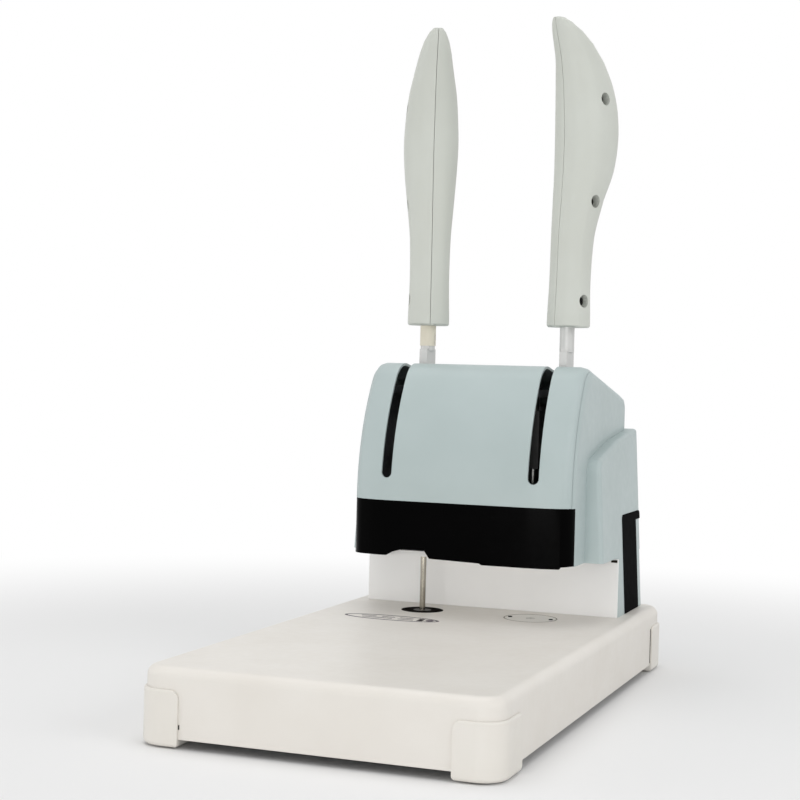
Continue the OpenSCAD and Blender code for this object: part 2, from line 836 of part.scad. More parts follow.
module upper_plate() {
    color(dark_steel) difference() {
        translate([0, 0, upper_z]) linear_extrude(upper_t) polygon([
            [-plate_x, upper_back], [plate_x, upper_back], [plate_x, upper_front + 3.7],
            [bow_start, upper_front], [-bow_start, upper_front], [-plate_x, upper_front + 3.7]
        ]);
        for (s = [-1, 1]) side(s)
            box([arm_x0 - 2, upper_front - 5, upper_z - 1], [arm_x1 + 2, slot_end + 4, upper_top + 1]);
        each_guide() cylinder(r = guide_r, h = crest_z);
        rod_z(-tool_x, tool_y, upper_z - 1, upper_top + 1, 7);
    }
}

bolt_places = [
    [plate_front + 12, lower_z + lower_t / 2], [plate_step - 12, lower_z + lower_t / 2],
    [guide_y + 18, upper_z + upper_t / 2], [upper_back - 14, upper_z + upper_t / 2]
];

module frame_bolts() {
    color(steel) for (s = [-1, 1]) side(s) {
        for (p = bolt_places) rod_x(plate_x + plate_t, plate_x + plate_t + 3, 3, p[0], p[1]);
        for (y = [plate_step + 12, plate_back - 12])
            rod_z(plate_x + plate_t + frame_flange / 2, y, floor_top + 6, floor_top + 9.5, 4.5);
    }
}

module lever_shaft() {
    color(steel) difference() {
        rod_x(-plate_x - plate_t - 3.5, plate_x + plate_t + 3.5, shaft_r, pivot_y, pivot_z);
        for (s = [-1, 1]) side(s) difference() {
            rod_x(plate_x + plate_t + 0.5, plate_x + plate_t + 0.5 + ring_t, shaft_r + 1, pivot_y, pivot_z);
            rod_x(plate_x + plate_t, plate_x + plate_t + 3, shaft_r - 0.7, pivot_y, pivot_z);
        }
    }
}

module shaft_rings() {
    color(dark_steel) for (s = [-1, 1]) side(s) difference() {
        rod_x(plate_x + plate_t + 0.6, plate_x + plate_t + 0.4 + ring_t, shaft_r + 2.5, pivot_y, pivot_z);
        rod_x(plate_x + plate_t, plate_x + plate_t + 3, shaft_r - 0.6, pivot_y, pivot_z);
        box([plate_x, pivot_y - 2, pivot_z - 12], [plate_x + plate_t + 5, pivot_y + 2, pivot_z]);
    }
}

hub_in = gear_x - gear_t / 2;
hub_out = arm_x1 + 0.6;

module tube_x(x0, x1, r, bore) {
    difference() {
        rod_x(x0, x1, r, pivot_y, pivot_z);
        rod_x(x0 - 1, x1 + 1, bore, pivot_y, pivot_z);
    }
}

module shaft_spacers() {
    color(steel) {
        tube_x(-hub_in + 0.2, hub_in - 0.2, 9, shaft_r + fit);
        for (s = [-1, 1]) side(s) tube_x(hub_out + 0.2, plate_x - 0.1, 10, shaft_r + fit);
    }
}

module guide_rods() {
    color(steel) each_guide() rod_z(0, 0, lower_z, upper_top, guide_r);
}

// ---------- lever units, drawn on the right ----------

// Involute flank: the polar angle lost and the radius at roll angle t, in degrees
function flank_r(t) = gear_r * cos(20) * sqrt(1 + pow(t * PI / 180, 2));
function flank_a(t) = t - atan(t * PI / 180);

tip_roll = sqrt(pow(gear_tip / (gear_r * cos(20)), 2) - 1) * 180 / PI;
tooth_half = 90 / gear_n - play / 4 / gear_r * 180 / PI + (tan(20) - 20 * PI / 180) * 180 / PI;

function tooth_points(a) = concat(
    [gear_root * 0.98 * [cos(a - tooth_half), sin(a - tooth_half)]],
    [for (i = [0:4]) let (t = tip_roll * i / 4)
        flank_r(t) * [cos(a - tooth_half + flank_a(t)), sin(a - tooth_half + flank_a(t))]],
    [for (i = [4:-1:0]) let (t = tip_roll * i / 4)
        flank_r(t) * [cos(a + tooth_half - flank_a(t)), sin(a + tooth_half - flank_a(t))]],
    [gear_root * 0.98 * [cos(a + tooth_half), sin(a + tooth_half)]]
);

// Teeth run from the pitch point in front of the pivot up over the top
first_tooth = 180 + tooth_step;
last_tooth = first_tooth - tooth_step * (sector_teeth - 1);

module sector_outline() {
    polygon(concat([[0, 0]],
        arc([0, 0], gear_root, last_tooth - tooth_step / 2, first_tooth + tooth_step / 2, 24)));
    for (k = [0:sector_teeth - 1]) polygon(tooth_points(first_tooth - k * tooth_step));
}

module sector() {
    color(dark_steel) difference() {
        union() {
            along_x(hub_in, gear_t) translate([pivot_y, pivot_z]) sector_outline();
            rod_x(hub_in, arm_x0 - 0.1, hub_r, pivot_y, pivot_z);
            rod_x(arm_x0 - 4, arm_x0 - 0.1, flange_r, pivot_y, pivot_z);
            rod_x(arm_x0 - 1, hub_out, neck_r, pivot_y, pivot_z);
        }
        rod_x(hub_in - 1, hub_out + 1, shaft_r + fit, pivot_y, pivot_z);
        // Window that lightens the sector
        mid = (first_tooth + last_tooth) / 2;
        for (a = [-28, 0, 28])
            rod_x(hub_in - 1, hub_in + gear_t + 1, 5,
                  pivot_y + 23 * cos(mid + a), pivot_z + 23 * sin(mid + a));
    }
}

module arm() {
    top = pivot_z + arm_reach;
    color(steel) {
        difference() {
            union() {
                rod_x(arm_x0, arm_x1, eye_r, pivot_y, pivot_z);
                box([arm_x0, pivot_y - arm_w / 2, pivot_z], [arm_x1, pivot_y + arm_w / 2, top - 3]);
                box([arm_x0, pivot_y - rod_r, top - 4], [arm_x1, pivot_y + rod_r, top]);
            }
            rod_x(arm_x0 - 1, arm_x1 + 1, neck_r + fit, pivot_y, pivot_z);
        }
        rod_z(lever_x, pivot_y, top - 1, top + 14, min(stud_r, arm_t / 2));
        // Screws into the hub's flange
        for (a = [30, 150, 270])
            rod_x(arm_x1 - 0.1, arm_x1 + 1.4, 2.4,
                  pivot_y + arm_screw_r * cos(a), pivot_z + arm_screw_r * sin(a));
    }
}

module rod() {
    color(steel) difference() {
        rod_z(lever_x, pivot_y, rod_z0, rod_z1, rod_r);
        rod_z(lever_x, pivot_y, rod_z0 - 1, rod_z0 + 15, stud_r + fit);
    }
}

// Handle sections: share of the length, half depth, half thickness, and how far the middle lies
// towards the belly; the belly is the last column's largest value
belly_a = 30;
belly_b = 25.2;
grip_sections = [
    [0.000, grip_a - 1.2, grip_b - 1.2, 0],
    [0.008, grip_a, grip_b, 0],
    [0.130, grip_a - 0.2, grip_b - 0.1, 0.5],
    [0.300, grip_a + 0.3, grip_b + 0.3, 2.4],
    [0.455, 26, 22, belly_out - belly_a - 5.5],
    [0.625, belly_a, belly_b, belly_out - belly_a],
    [0.760, belly_a + 0.5, belly_b - 2.4, belly_out - belly_a - 2.5],
    [0.875, 26, 15.5, 3.5],
    [0.945, 20, 11, -6.5],
    [0.988, 12.5, 6.8, -13.5],
    [1.000, 8.5, 4.4, -16.5]
];
grip_steps = 2;
grip_sides = 28;

// Smooth rows between the sections
function ease(a, b, c, d, t) = 0.5 * (2 * b + (c - a) * t + (2 * a - 5 * b + 4 * c - d) * t * t
    + (3 * b - 3 * c + d - a) * t * t * t);
function section_at(i) = grip_sections[min(max(i, 0), len(grip_sections) - 1)];
function row_at(i, t) = let (
    b = section_at(i), c = section_at(i + 1), row = ease(section_at(i - 1), b, c, section_at(i + 2), t)
) [b[0] + (c[0] - b[0]) * t, row[1], row[2], row[3]];
grip_rows = concat(
    [for (i = [0:len(grip_sections) - 2], k = [0:grip_steps - 1]) row_at(i, k / grip_steps)],
    [section_at(len(grip_sections) - 1)]
);

function grip_point(row, j) =
    let (a = 360 * j / grip_sides, d = row[3] + row[1] * cos(a), n = row[2] * sin(a)) [
        lever_x + d * sin(belly_turn) + n * cos(belly_turn),
        pivot_y + d * cos(belly_turn) - n * sin(belly_turn),
        grip_z + row[0] * grip_len
    ];

module grip_body() {
    polyhedron(
        points = [for (row = grip_rows, j = [0:grip_sides - 1]) grip_point(row, j)],
        faces = loft_faces(len(grip_rows), grip_sides)
    );
}

// Half space on one side of the parting plane, which holds the rod and the belly
module parting(s) {
    far = 60;
    translate([lever_x, pivot_y, grip_z - 1]) rotate([0, 0, -belly_turn])
        translate([s > 0 ? seam / 3 : -far - seam / 3, -far - 10, 0])
            cube([far, 2 * far + 40, grip_len + 2]);
}

// The screws sit along the middle of the outer face
grip_screw_rows = [[0.085, 0, 11], [0.405, 9, 13], [0.735, 14.5, 15]];

module each_grip_screw() {
    for (p = grip_screw_rows)
        translate([lever_x, pivot_y, grip_z + p[0] * grip_len]) rotate([0, 0, -belly_turn])
            translate([p[2], p[1], 0]) rotate([0, 90, 0]) children();
}

module grip_half(s) {
    color(grip_grey) difference() {
        intersection() {
            grip_body();
            parting(s);
        }
        rod_z(lever_x, pivot_y, grip_z - 1, rod_z1 + 1, rod_r + 0.1);
        if (s > 0) each_grip_screw() cylinder(r = recess_r, h = 30);
    }
}

module grip_screws() {
    color(dark_steel) each_grip_screw() difference() {
        cylinder(r = recess_r - 0.8, h = 2.2);
        translate([0, 0, 1]) cylinder(r = 1.5, h = 2, $fn = 6);
    }
}

// ---------- carriages, drawn on the right ----------

rack_low = pivot_z - tooth_pitch / 2 - 3;
rack_top = pivot_z + travel + 6.3;
rack_teeth = round((rack_top - rack_low) / tooth_pitch);
rack_half = (tooth_pitch - play / 2) / 4;

module rack_outline() {
    root_y = rack_y - 1.25 * gear_m;
    tip_y = rack_y + gear_m;
    low = rack_half + 1.25 * gear_m * tan(20);
    high = rack_half - gear_m * tan(20);
    translate([rack_back, rack_low]) square([root_y - rack_back, rack_top - rack_low]);
    for (j = [0:rack_teeth - 1]) translate([0, pivot_z + (j - 0.5) * tooth_pitch])
        polygon([[root_y - 0.5, -low], [root_y, -low], [tip_y, -high], [tip_y, high], [root_y, low],
                 [root_y - 0.5, low]]);
}

// Guide block with the tool's housing and the rack
module carriage_body() {
    along_x(gear_x - rack_t / 2, rack_t) rack_outline();
    box([gear_x - 4, guide_y + 5, block_z + 5], [gear_x + 4, rack_back + 0.5, block_top]);
    box([guide_x[0] - 6.5, guide_y - 6, block_z], [guide_x[1] + 6, guide_y + 10, block_top]);
    rod_z(tool_x, tool_y, block_z, block_top, block_r);
    box([tool_x - 8, guide_y + 5, block_z], [tool_x + 8, tool_y, block_top]);
}

module guide_bores() {
    for (x = guide_x) rod_z(x, guide_y, block_z - 1, block_top + 1, guide_r + fit);
}

module drill_carriage() {
    color(dark_steel) side(-1) difference() {
        union() {
            carriage_body();
            // Bracket under the motor
            rod_z(0, tool_y, motor_z - 3.5, motor_z, motor_r);
            box([0, guide_y + 6, motor_z - 3.5], [tool_x, rack_back - 1, motor_z]);
            box([tool_x - 8, guide_y + 6, motor_z - 3.5], [tool_x + 8, rack_back - 1, block_z + 1]);
            box([guide_x[0] + 2, guide_y + 6, motor_z - 3.5], [tool_x, guide_y + 10, block_z + 1]);
        }
        guide_bores();
        rod_z(tool_x, tool_y, motor_z - 5, block_top + 1, spindle_r + 1);
        rod_z(tool_x, tool_y, block_z - 1, block_z + bearing_h, bearing_r);
        rod_z(tool_x, tool_y, motor_z - 5, block_z + 0.1, bearing_r);
        rod_z(tool_x, tool_y, block_top - bearing_h, block_top + 1, bearing_r);
        rod_z(0, tool_y, motor_z - 5, motor_z + 1, 6);
    }
}

module spindle_bearings() {
    color(steel) for (z = [block_z, block_top - bearing_h]) difference() {
        rod_z(-tool_x, tool_y, z, z + bearing_h, bearing_r);
        rod_z(-tool_x, tool_y, z - 1, z + bearing_h + 1, spindle_r + fit);
    }
}

module drill_motor() {
    color(steel) {
        rod_z(0, tool_y, motor_z, motor_top - 4, motor_r);
        rod_z(0, tool_y, motor_top - 5, motor_top, motor_r - 4);
        for (x = [-8, 8])
            box([x - 1.5, tool_y - 3, motor_top - 1], [x + 1.5, tool_y + 3, motor_top + 4]);
        rod_z(0, tool_y, motor_z - 2, motor_z + 1, 5.5);
    }
}

// The belt's path: a loop round both pulleys, drawn out by a gap
belt_lean = asin((pulley_r - motor_pulley_r) / tool_x);

module belt_loop(gap) {
    polygon(concat(
        arc([-tool_x, tool_y], pulley_r + gap, 90 - belt_lean, 270 + belt_lean, 24),
        arc([0, tool_y], motor_pulley_r + gap, -90 + belt_lean, 90 - belt_lean, 18)
    ));
}

module drive_belt() {
    color(rubber) translate([0, 0, pulley_z + 1.3]) linear_extrude(pulley_h - 2.6) difference() {
        belt_loop(belt_gap + belt_t);
        belt_loop(belt_gap);
    }
}

module spindle() {
    color(steel) difference() {
        union() {
            rod_z(-tool_x, tool_y, nose_z, spindle_top, spindle_r);
            rod_z(-tool_x, tool_y, nose_z + 1.5, nose_z + chuck_h, chuck_r);
            translate([-tool_x, tool_y, nose_z]) cylinder(r1 = chuck_r - 2, r2 = chuck_r, h = 1.6);
            rod_z(-tool_x, tool_y, block_top + 0.4, block_top + 3, 7.5);
        }
        rod_z(-tool_x, tool_y, nose_z - 1, spindle_top + 1, spindle_bore);
        // Key holes of the chuck
        for (a = [0, 120, 240]) translate([-tool_x, tool_y, nose_z + 5]) rotate([0, 90, a])
            translate([0, 0, chuck_r - 2]) cylinder(r = 1.5, h = 5);
    }
}

module spindle_pulley() {
    color(dark_steel) difference() {
        union() {
            rod_z(-tool_x, tool_y, pulley_z, pulley_z + pulley_h, pulley_r);
            rod_z(-tool_x, tool_y, pulley_z, pulley_z + 1, pulley_r + pulley_rim);
            rod_z(-tool_x, tool_y, pulley_z + pulley_h - 1, pulley_z + pulley_h, pulley_r + pulley_rim);
        }
        rod_z(-tool_x, tool_y, pulley_z - 1, pulley_z + pulley_h + 1, spindle_r);
        for (a = [30:60:330])
            rod_z(-tool_x + 9 * cos(a), tool_y + 9 * sin(a), pulley_z - 1, pulley_z + 9, 1.8);
    }
}

module motor_pulley() {
    color(dark_steel) {
        rod_z(0, tool_y, pulley_z, pulley_z + pulley_h, motor_pulley_r);
        rod_z(0, tool_y, pulley_z, pulley_z + 1, motor_pulley_r + pulley_rim);
        rod_z(0, tool_y, pulley_z, motor_z - 2.2, 2.5);
    }
}

module drill_bit() {
    low = table_z + 0.1;
    color(steel) difference() {
        rod_z(-tool_x, tool_y, low, low + bit_len, bit_r);
        rod_z(-tool_x, tool_y, low - 1, low + bit_len + 1, bit_bore);
        // Ground cutting edge
        translate([-tool_x, tool_y, low - 0.01]) cylinder(r1 = bit_r - 0.15, r2 = bit_bore, h = 1.2);
        // Window that lets the paper plugs out
        box([-tool_x - bit_r - 1, tool_y - 0.9, low + 60], [-tool_x, tool_y + 0.9, low + 90]);
    }
}

module press_carriage() {
    color(dark_steel) difference() {
        carriage_body();
        guide_bores();
        rod_z(tool_x, tool_y, block_z - 1, block_top + 1, ram_r);
    }
}

heater_r = 13;
heater_z = punch_z + 14;
heater_h = 22;
washer_t = 5;

module press_ram() {
    top = heater_z + heater_h + washer_t;
    color(steel) {
        rod_z(tool_x, tool_y, top, block_top, ram_r);
        rod_z(tool_x, tool_y, block_top, block_top + 4, ram_r + 3);
    }
    color(rubber) rod_z(tool_x, tool_y, top - washer_t, top + 0.1, heater_r - 1);
}

module heater_block() {
    color(brass) difference() {
        union() {
            rod_z(tool_x, tool_y, heater_z, heater_z + heater_h, heater_r);
            rod_z(tool_x, tool_y, punch_z + 3, heater_z + 1, 6);
            translate([tool_x, tool_y, punch_z]) cylinder(r1 = 3.5, r2 = 6, h = 3);
        }
        // Seat of the heating cartridge
        translate([tool_x, tool_y - heater_r - 1, heater_z + heater_h / 2]) rotate([-90, 0, 0])
            cylinder(r = 4, h = 20);
        // Dome that curls the rivet's rim
        translate([tool_x, tool_y, punch_z - 1]) cylinder(r = 1.4, h = 3.5);
    }
}

// ---------- return springs: one unbroken tube each ----------

coil_rings = 8;
coil_sides = 6;
coil_low = lower_top + wire_r + 0.2;
coil_high = block_z - wire_r - 0.2;
coil_steps = coil_n * coil_rings;

// Share of the height at a share of the length: the end curls lie flat, the rest rise evenly
function coil_share(u) = u < 1 / coil_n ? 0.03 * u * coil_n
    : u > 1 - 1 / coil_n ? 1 - 0.03 * (1 - u) * coil_n
    : 0.03 + 0.94 * (u - 1 / coil_n) / (1 - 2 / coil_n);
function coil_mid(i) = let (a = 360 * i / coil_rings)
    [coil_r * cos(a), coil_r * sin(a), coil_low + (coil_high - coil_low) * coil_share(i / coil_steps)];
function coil_point(i, j) = let (a = 360 * i / coil_rings, b = 360 * j / coil_sides)
    coil_mid(i) + wire_r * [cos(a) * cos(b), sin(a) * cos(b), sin(b)];

coil_gap = min([for (i = [0:coil_steps - coil_rings]) norm(coil_mid(i) - coil_mid(i + coil_rings))])
    - 2 * wire_r;
echo(least_gap_between_curls = coil_gap);

module spring() {
    color(steel) polyhedron(
        points = [for (i = [0:coil_steps], j = [0:coil_sides - 1]) coil_point(i, j)],
        faces = loft_faces(coil_steps + 1, coil_sides)
    );
}

module drill_spring() { translate([-guide_x[0], guide_y, 0]) spring(); }
module press_spring() { translate([guide_x[0], guide_y, 0]) spring(); }

// ---------- left and right units ----------

module drill_sector() { side(-1) sector(); }
module drill_arm() { side(-1) arm(); }
module drill_rod() { side(-1) rod(); }
module drill_sleeve() {
    color([0.90, 0.87, 0.78]) side(-1) difference() {
        rod_z(lever_x, pivot_y, rod_z0, grip_z - seam, sleeve_r);
        rod_z(lever_x, pivot_y, rod_z0 - 1, grip_z + 1, rod_r + fit);
        box([lever_x - sleeve_r - 1, pivot_y - 1.5, rod_z0 - 1], [lever_x, pivot_y + 1.5, rod_z0 + 10]);
    }
}
module drill_grip_outer() { side(-1) grip_half(1); }
module drill_grip_inner() { side(-1) grip_half(-1); }
module drill_grip_screws() { side(-1) grip_screws(); }
module press_sector() { sector(); }
module press_arm() { arm(); }
module press_rod() { rod(); }
module press_grip_outer() { grip_half(1); }
module press_grip_inner() { grip_half(-1); }
module press_grip_screws() { grip_screws(); }

base_shell();
bottom_plate();
base_screws();
foot_front_left();
foot_front_right();
foot_rear_left();
foot_rear_right();
rubber_pads();
pad_post();
die_post();
die_plate();
die_plate_screws();
lower_die();
fence();
housing();
front_cover();
visor();
side_panel_left();
side_panel_right();
rear_panel();
rear_panel_screws();
power_inlet();
frame_plate_left();
frame_plate_right();
lower_plate();
upper_plate();
frame_bolts();
lever_shaft();
shaft_rings();
shaft_spacers();
guide_rods();
drill_sector();
drill_arm();
drill_rod();
drill_sleeve();
drill_grip_outer();
drill_grip_inner();
drill_grip_screws();
press_sector();
press_arm();
press_rod();
press_grip_outer();
press_grip_inner();
press_grip_screws();
drill_carriage();
spindle_bearings();
drill_motor();
drive_belt();
spindle();
spindle_pulley();
motor_pulley();
drill_bit();
press_carriage();
press_ram();
heater_block();
pad_dial();
cutting_pad();
drill_spring();
press_spring();
power_switch();
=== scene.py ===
"""Looks of the document riveting machine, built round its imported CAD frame.

The left lever feeds a hollow drill through a stack of paper and the right lever heats and flattens
a plastic rivet tube. Every length is in metres, in the frame of the CAD part, and every colour is
given as a screen shows it.
"""

import json
import logging
import math
from collections.abc import Callable, Iterable, Iterator
from contextlib import contextmanager
from dataclasses import dataclass, field
from enum import Enum

import bmesh
import bpy
from mathutils import Matrix, Vector

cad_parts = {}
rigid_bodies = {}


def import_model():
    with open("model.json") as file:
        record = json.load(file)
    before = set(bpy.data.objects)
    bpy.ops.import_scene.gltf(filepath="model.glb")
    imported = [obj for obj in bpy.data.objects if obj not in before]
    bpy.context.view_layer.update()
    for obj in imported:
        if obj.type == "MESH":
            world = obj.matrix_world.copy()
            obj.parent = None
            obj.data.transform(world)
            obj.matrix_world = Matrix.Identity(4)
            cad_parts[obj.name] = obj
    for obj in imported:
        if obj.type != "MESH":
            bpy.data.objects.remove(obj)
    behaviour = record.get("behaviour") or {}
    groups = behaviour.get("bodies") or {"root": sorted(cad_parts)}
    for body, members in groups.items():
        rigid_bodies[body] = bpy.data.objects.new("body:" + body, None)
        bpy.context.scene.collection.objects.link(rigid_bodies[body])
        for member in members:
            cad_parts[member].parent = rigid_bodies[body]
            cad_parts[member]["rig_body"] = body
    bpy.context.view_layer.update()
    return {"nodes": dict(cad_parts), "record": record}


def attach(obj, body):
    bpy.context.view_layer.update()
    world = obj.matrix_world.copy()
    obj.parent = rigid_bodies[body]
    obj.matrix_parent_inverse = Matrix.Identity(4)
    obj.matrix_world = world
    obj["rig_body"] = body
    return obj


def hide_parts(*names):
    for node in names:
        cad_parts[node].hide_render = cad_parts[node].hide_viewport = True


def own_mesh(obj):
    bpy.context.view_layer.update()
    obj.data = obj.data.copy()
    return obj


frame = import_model()

Point = tuple[float, float, float]
Colour = tuple[float, float, float]
Span = tuple[float, float]
Piece = bpy.types.Object
Socket = bpy.types.NodeSocket
log = logging.getLogger("riveting_machine")

# The table's height, the levers' axis and their distance from the machine's middle.
TABLE_TOP = 0.0575
PIVOT_Y = 0.144
LEVER_X = 0.066
# Points closer than this are one point, and a print is this thick.
WELD = 2e-6
FILM = 8e-5
QUARTER_TURN = math.pi / 2.0
SIDES = ("left", "right")


def linear(colour: Colour) -> tuple[float, ...]:
    """Turns a screen colour into the linear one that a shader takes.

    Args:
        colour: Red, green and blue as seen on a screen, from 0 to 1.

    Returns:
        The linear colour with an alpha of 1.
    """
    knee, slope, lift, power = 0.04045, 12.92, 0.055, 2.4
    values = [c / slope if c <= knee else ((c + lift) / (1.0 + lift)) ** power for c in colour]
    return (*values, 1.0)


# ---- finishes


@dataclass(frozen=True)
class Wiring:
    """Adds and links the shader nodes of one material or world."""

    tree: bpy.types.NodeTree

    # The Mix node's colour sockets share their names with others, so they go by number.
    FIRST_COLOUR = 6
    SECOND_COLOUR = 7
    MIXED_COLOUR = 2

    def add(self, kind: str) -> bpy.types.Node:
        """Adds a shader node of a kind."""
        return self.tree.nodes.new("ShaderNode" + kind)

    def link(self, source: Socket, target: Socket) -> None:
        """Links one socket to another."""
        self.tree.links.new(source, target)

    def noise(self, place: Socket, scale: float, detail: float) -> Socket:
        """Adds a noise.

        Args:
            place: The place that the noise is read at.
            scale: Its scale per metre.
            detail: How many finer layers it has.

        Returns:
            The noise's value.
        """
        noise = self.add("TexNoise")
        noise.inputs["Scale"].default_value = scale
        noise.inputs["Detail"].default_value = detail
        self.link(place, noise.inputs["Vector"])
        return noise.outputs["Fac"]

    def span(self, value: Socket, reach: Span, onto: Span = (0.0, 1.0), eased: bool = False) -> Socket:
        """Maps a value's range onto another one, clamped.

        Args:
            value: The value that is mapped.
            reach: The range that it comes from.
            onto: The range that it goes to.
            eased: Whether both ends run out softly.

        Returns:
            The mapped value.
        """
        span = self.add("MapRange")
        span.interpolation_type = "SMOOTHSTEP" if eased else "LINEAR"
        for name, end in zip(("From Min", "From Max", "To Min", "To Max"), (*reach, *onto)):
            span.inputs[name].default_value = end
        self.link(value, span.inputs["Value"])
        return span.outputs["Result"]

    def mix(self, share: Socket, first: Colour | Socket, second: Colour) -> Socket:
        """Mixes two colours.

        Args:
            share: Share of the second colour.
            first: The first colour, or the socket that gives it.
            second: The second colour.

        Returns:
            The mixed colour.
        """
        mix = self.add("Mix")
        mix.data_type = "RGBA"
        self.link(share, mix.inputs["Factor"])
        if isinstance(first, Socket):
            self.link(first, mix.inputs[self.FIRST_COLOUR])
        else:
            mix.inputs[self.FIRST_COLOUR].default_value = linear(first)
        mix.inputs[self.SECOND_COLOUR].default_value = linear(second)
        return mix.outputs[self.MIXED_COLOUR]

    def work(self, operation: str, first: Socket, second: Socket) -> Socket:
        """Works one value out of two.

        Args:
            operation: Blender's name of the operation.
            first: The first value.
            second: The second value.

        Returns:
            The operation's result.
        """
        node = self.add("Math")
        node.operation = operation
        self.link(first, node.inputs[0])
        self.link(second, node.inputs[1])
        return node.outputs[0]


class Grain(Enum):
    """How a surface was made: the stretch of its texture along x, y and z."""

    MOULDED = (1.0, 1.0, 1.0)
    DRAWN_UP = (1.0, 1.0, 0.03)
    DRAWN_ACROSS = (0.03, 1.0, 1.0)
    ROLLED = (1.0, 0.05, 1.0)
    CAST = (0.4, 0.4, 0.4)


@dataclass(frozen=True)
class Finish:
    """A procedural finish: two tones that drift, a fine texture, wear and a relief.

    The texture and the drift are scales per metre. Each noise has its count of finer layers, and a
    span is the stretch of a noise over which its pattern goes from none to full. The wear is real
    wear, but on the cutting pad the dark tones are painted shade and the light wear marks are painted
    glints.
    """

    slot: str
    colour: Colour
    shade: Colour
    roughness: float
    spread: float = 0.06
    metallic: float = 0.0
    gloss: float = 0.5
    grain: Grain = Grain.MOULDED
    texture: float = 1400.0
    relief: float = 2e-5
    drift: float = 16.0
    # Wear: real scratch marks, but on the cutting pad the light marks are painted glints.
    worn: float = 0.0
    worn_colour: Colour = (0.55, 0.55, 0.54)

    FINE, BROAD, BLOTCH, SCRATCH = 3.0, 4.0, 5.0, 6.0
    BLOTCHES_PER_DRIFT = 9.0
    SCRATCHES_PER_TEXTURE = 0.25
    TONE_SPAN = (0.35, 0.65)
    SHEEN_SPAN = (0.3, 0.7)
    SCRATCH_SPAN = (0.60, 0.66)
    PATCH_SPAN = (0.45, 0.62)

    def material(self) -> bpy.types.Material:
        """Builds the finish's material, or returns it where it was built before.

        Returns:
            The node material, named after its slot.
        """
        name = self.slot + "_finish"
        made = bpy.data.materials.get(name)
        if made is not None:
            return made
        material = bpy.data.materials.new(name)
        material.use_nodes = True
        material.diffuse_color = linear(self.colour)
        nodes = Wiring(material.node_tree)
        shader = nodes.tree.nodes["Principled BSDF"]
        shader.inputs["Metallic"].default_value = self.metallic
        shader.inputs["Specular IOR Level"].default_value = self.gloss
        place = nodes.add("TexCoord").outputs["Object"]
        stretch = nodes.add("Mapping")
        stretch.inputs["Scale"].default_value = self.grain.value
        nodes.link(place, stretch.inputs["Vector"])
        grained = stretch.outputs["Vector"]
        fine = nodes.noise(grained, self.texture, self.FINE)
        broad = nodes.noise(place, self.drift, self.BROAD)
        blotch = nodes.noise(place, self.drift * self.BLOTCHES_PER_DRIFT, self.BLOTCH)
        tone = nodes.mix(nodes.span(broad, self.TONE_SPAN), self.colour, self.shade)
        if self.worn > 0.0:
            tone = self._wear_and_glints(nodes, tone, grained, blotch)
        nodes.link(tone, shader.inputs["Base Color"])
        sheen = (self.roughness - self.spread, self.roughness + self.spread)
        nodes.link(nodes.span(blotch, self.SHEEN_SPAN, sheen), shader.inputs["Roughness"])
        bump = nodes.add("Bump")
        bump.inputs["Distance"].default_value = self.relief
        nodes.link(fine, bump.inputs["Height"])
        nodes.link(bump.outputs["Normal"], shader.inputs["Normal"])
        return material

    def _wear_and_glints(self, nodes: Wiring, tone: Socket, grained: Socket, blotch: Socket) -> Socket:
        """Adds fine scratch marks where the blotches are strong. They are real wear, except on the cutting
        pad, where light marks on a dark tone are painted glints.

        Args:
            nodes: The material's nodes.
            tone: The colour before it wears.
            grained: The place, stretched along the grain.
            blotch: The value of the blotches.

        Returns:
            The worn colour.
        """
        scale = self.texture * self.SCRATCHES_PER_TEXTURE
        lines = nodes.noise(grained, scale, self.SCRATCH)
        scratch_and_glint_marks = nodes.span(lines, self.SCRATCH_SPAN, (0.0, self.worn))
        patches = nodes.span(blotch, self.PATCH_SPAN)
        return nodes.mix(nodes.work("MULTIPLY", scratch_and_glint_marks, patches), tone, self.worn_colour)


def plastic(slot: str, colour: Colour, shade: Colour, roughness: float, **more: float) -> Finish:
    """A finish of moulded plastic or painted sheet, with a low gloss."""
    return Finish(slot, colour, shade, roughness, gloss=0.3, **more)


def metal(slot: str, colour: Colour, shade: Colour, roughness: float, **more: float | Grain) -> Finish:
    """A finish of bare metal."""
    return Finish(slot, colour, shade, roughness, metallic=1.0, **more)


def finishes(*made: Finish) -> dict[str, Finish]:
    """Lists finishes by the record's slot that each one belongs to."""
    return {finish.slot: finish for finish in made}


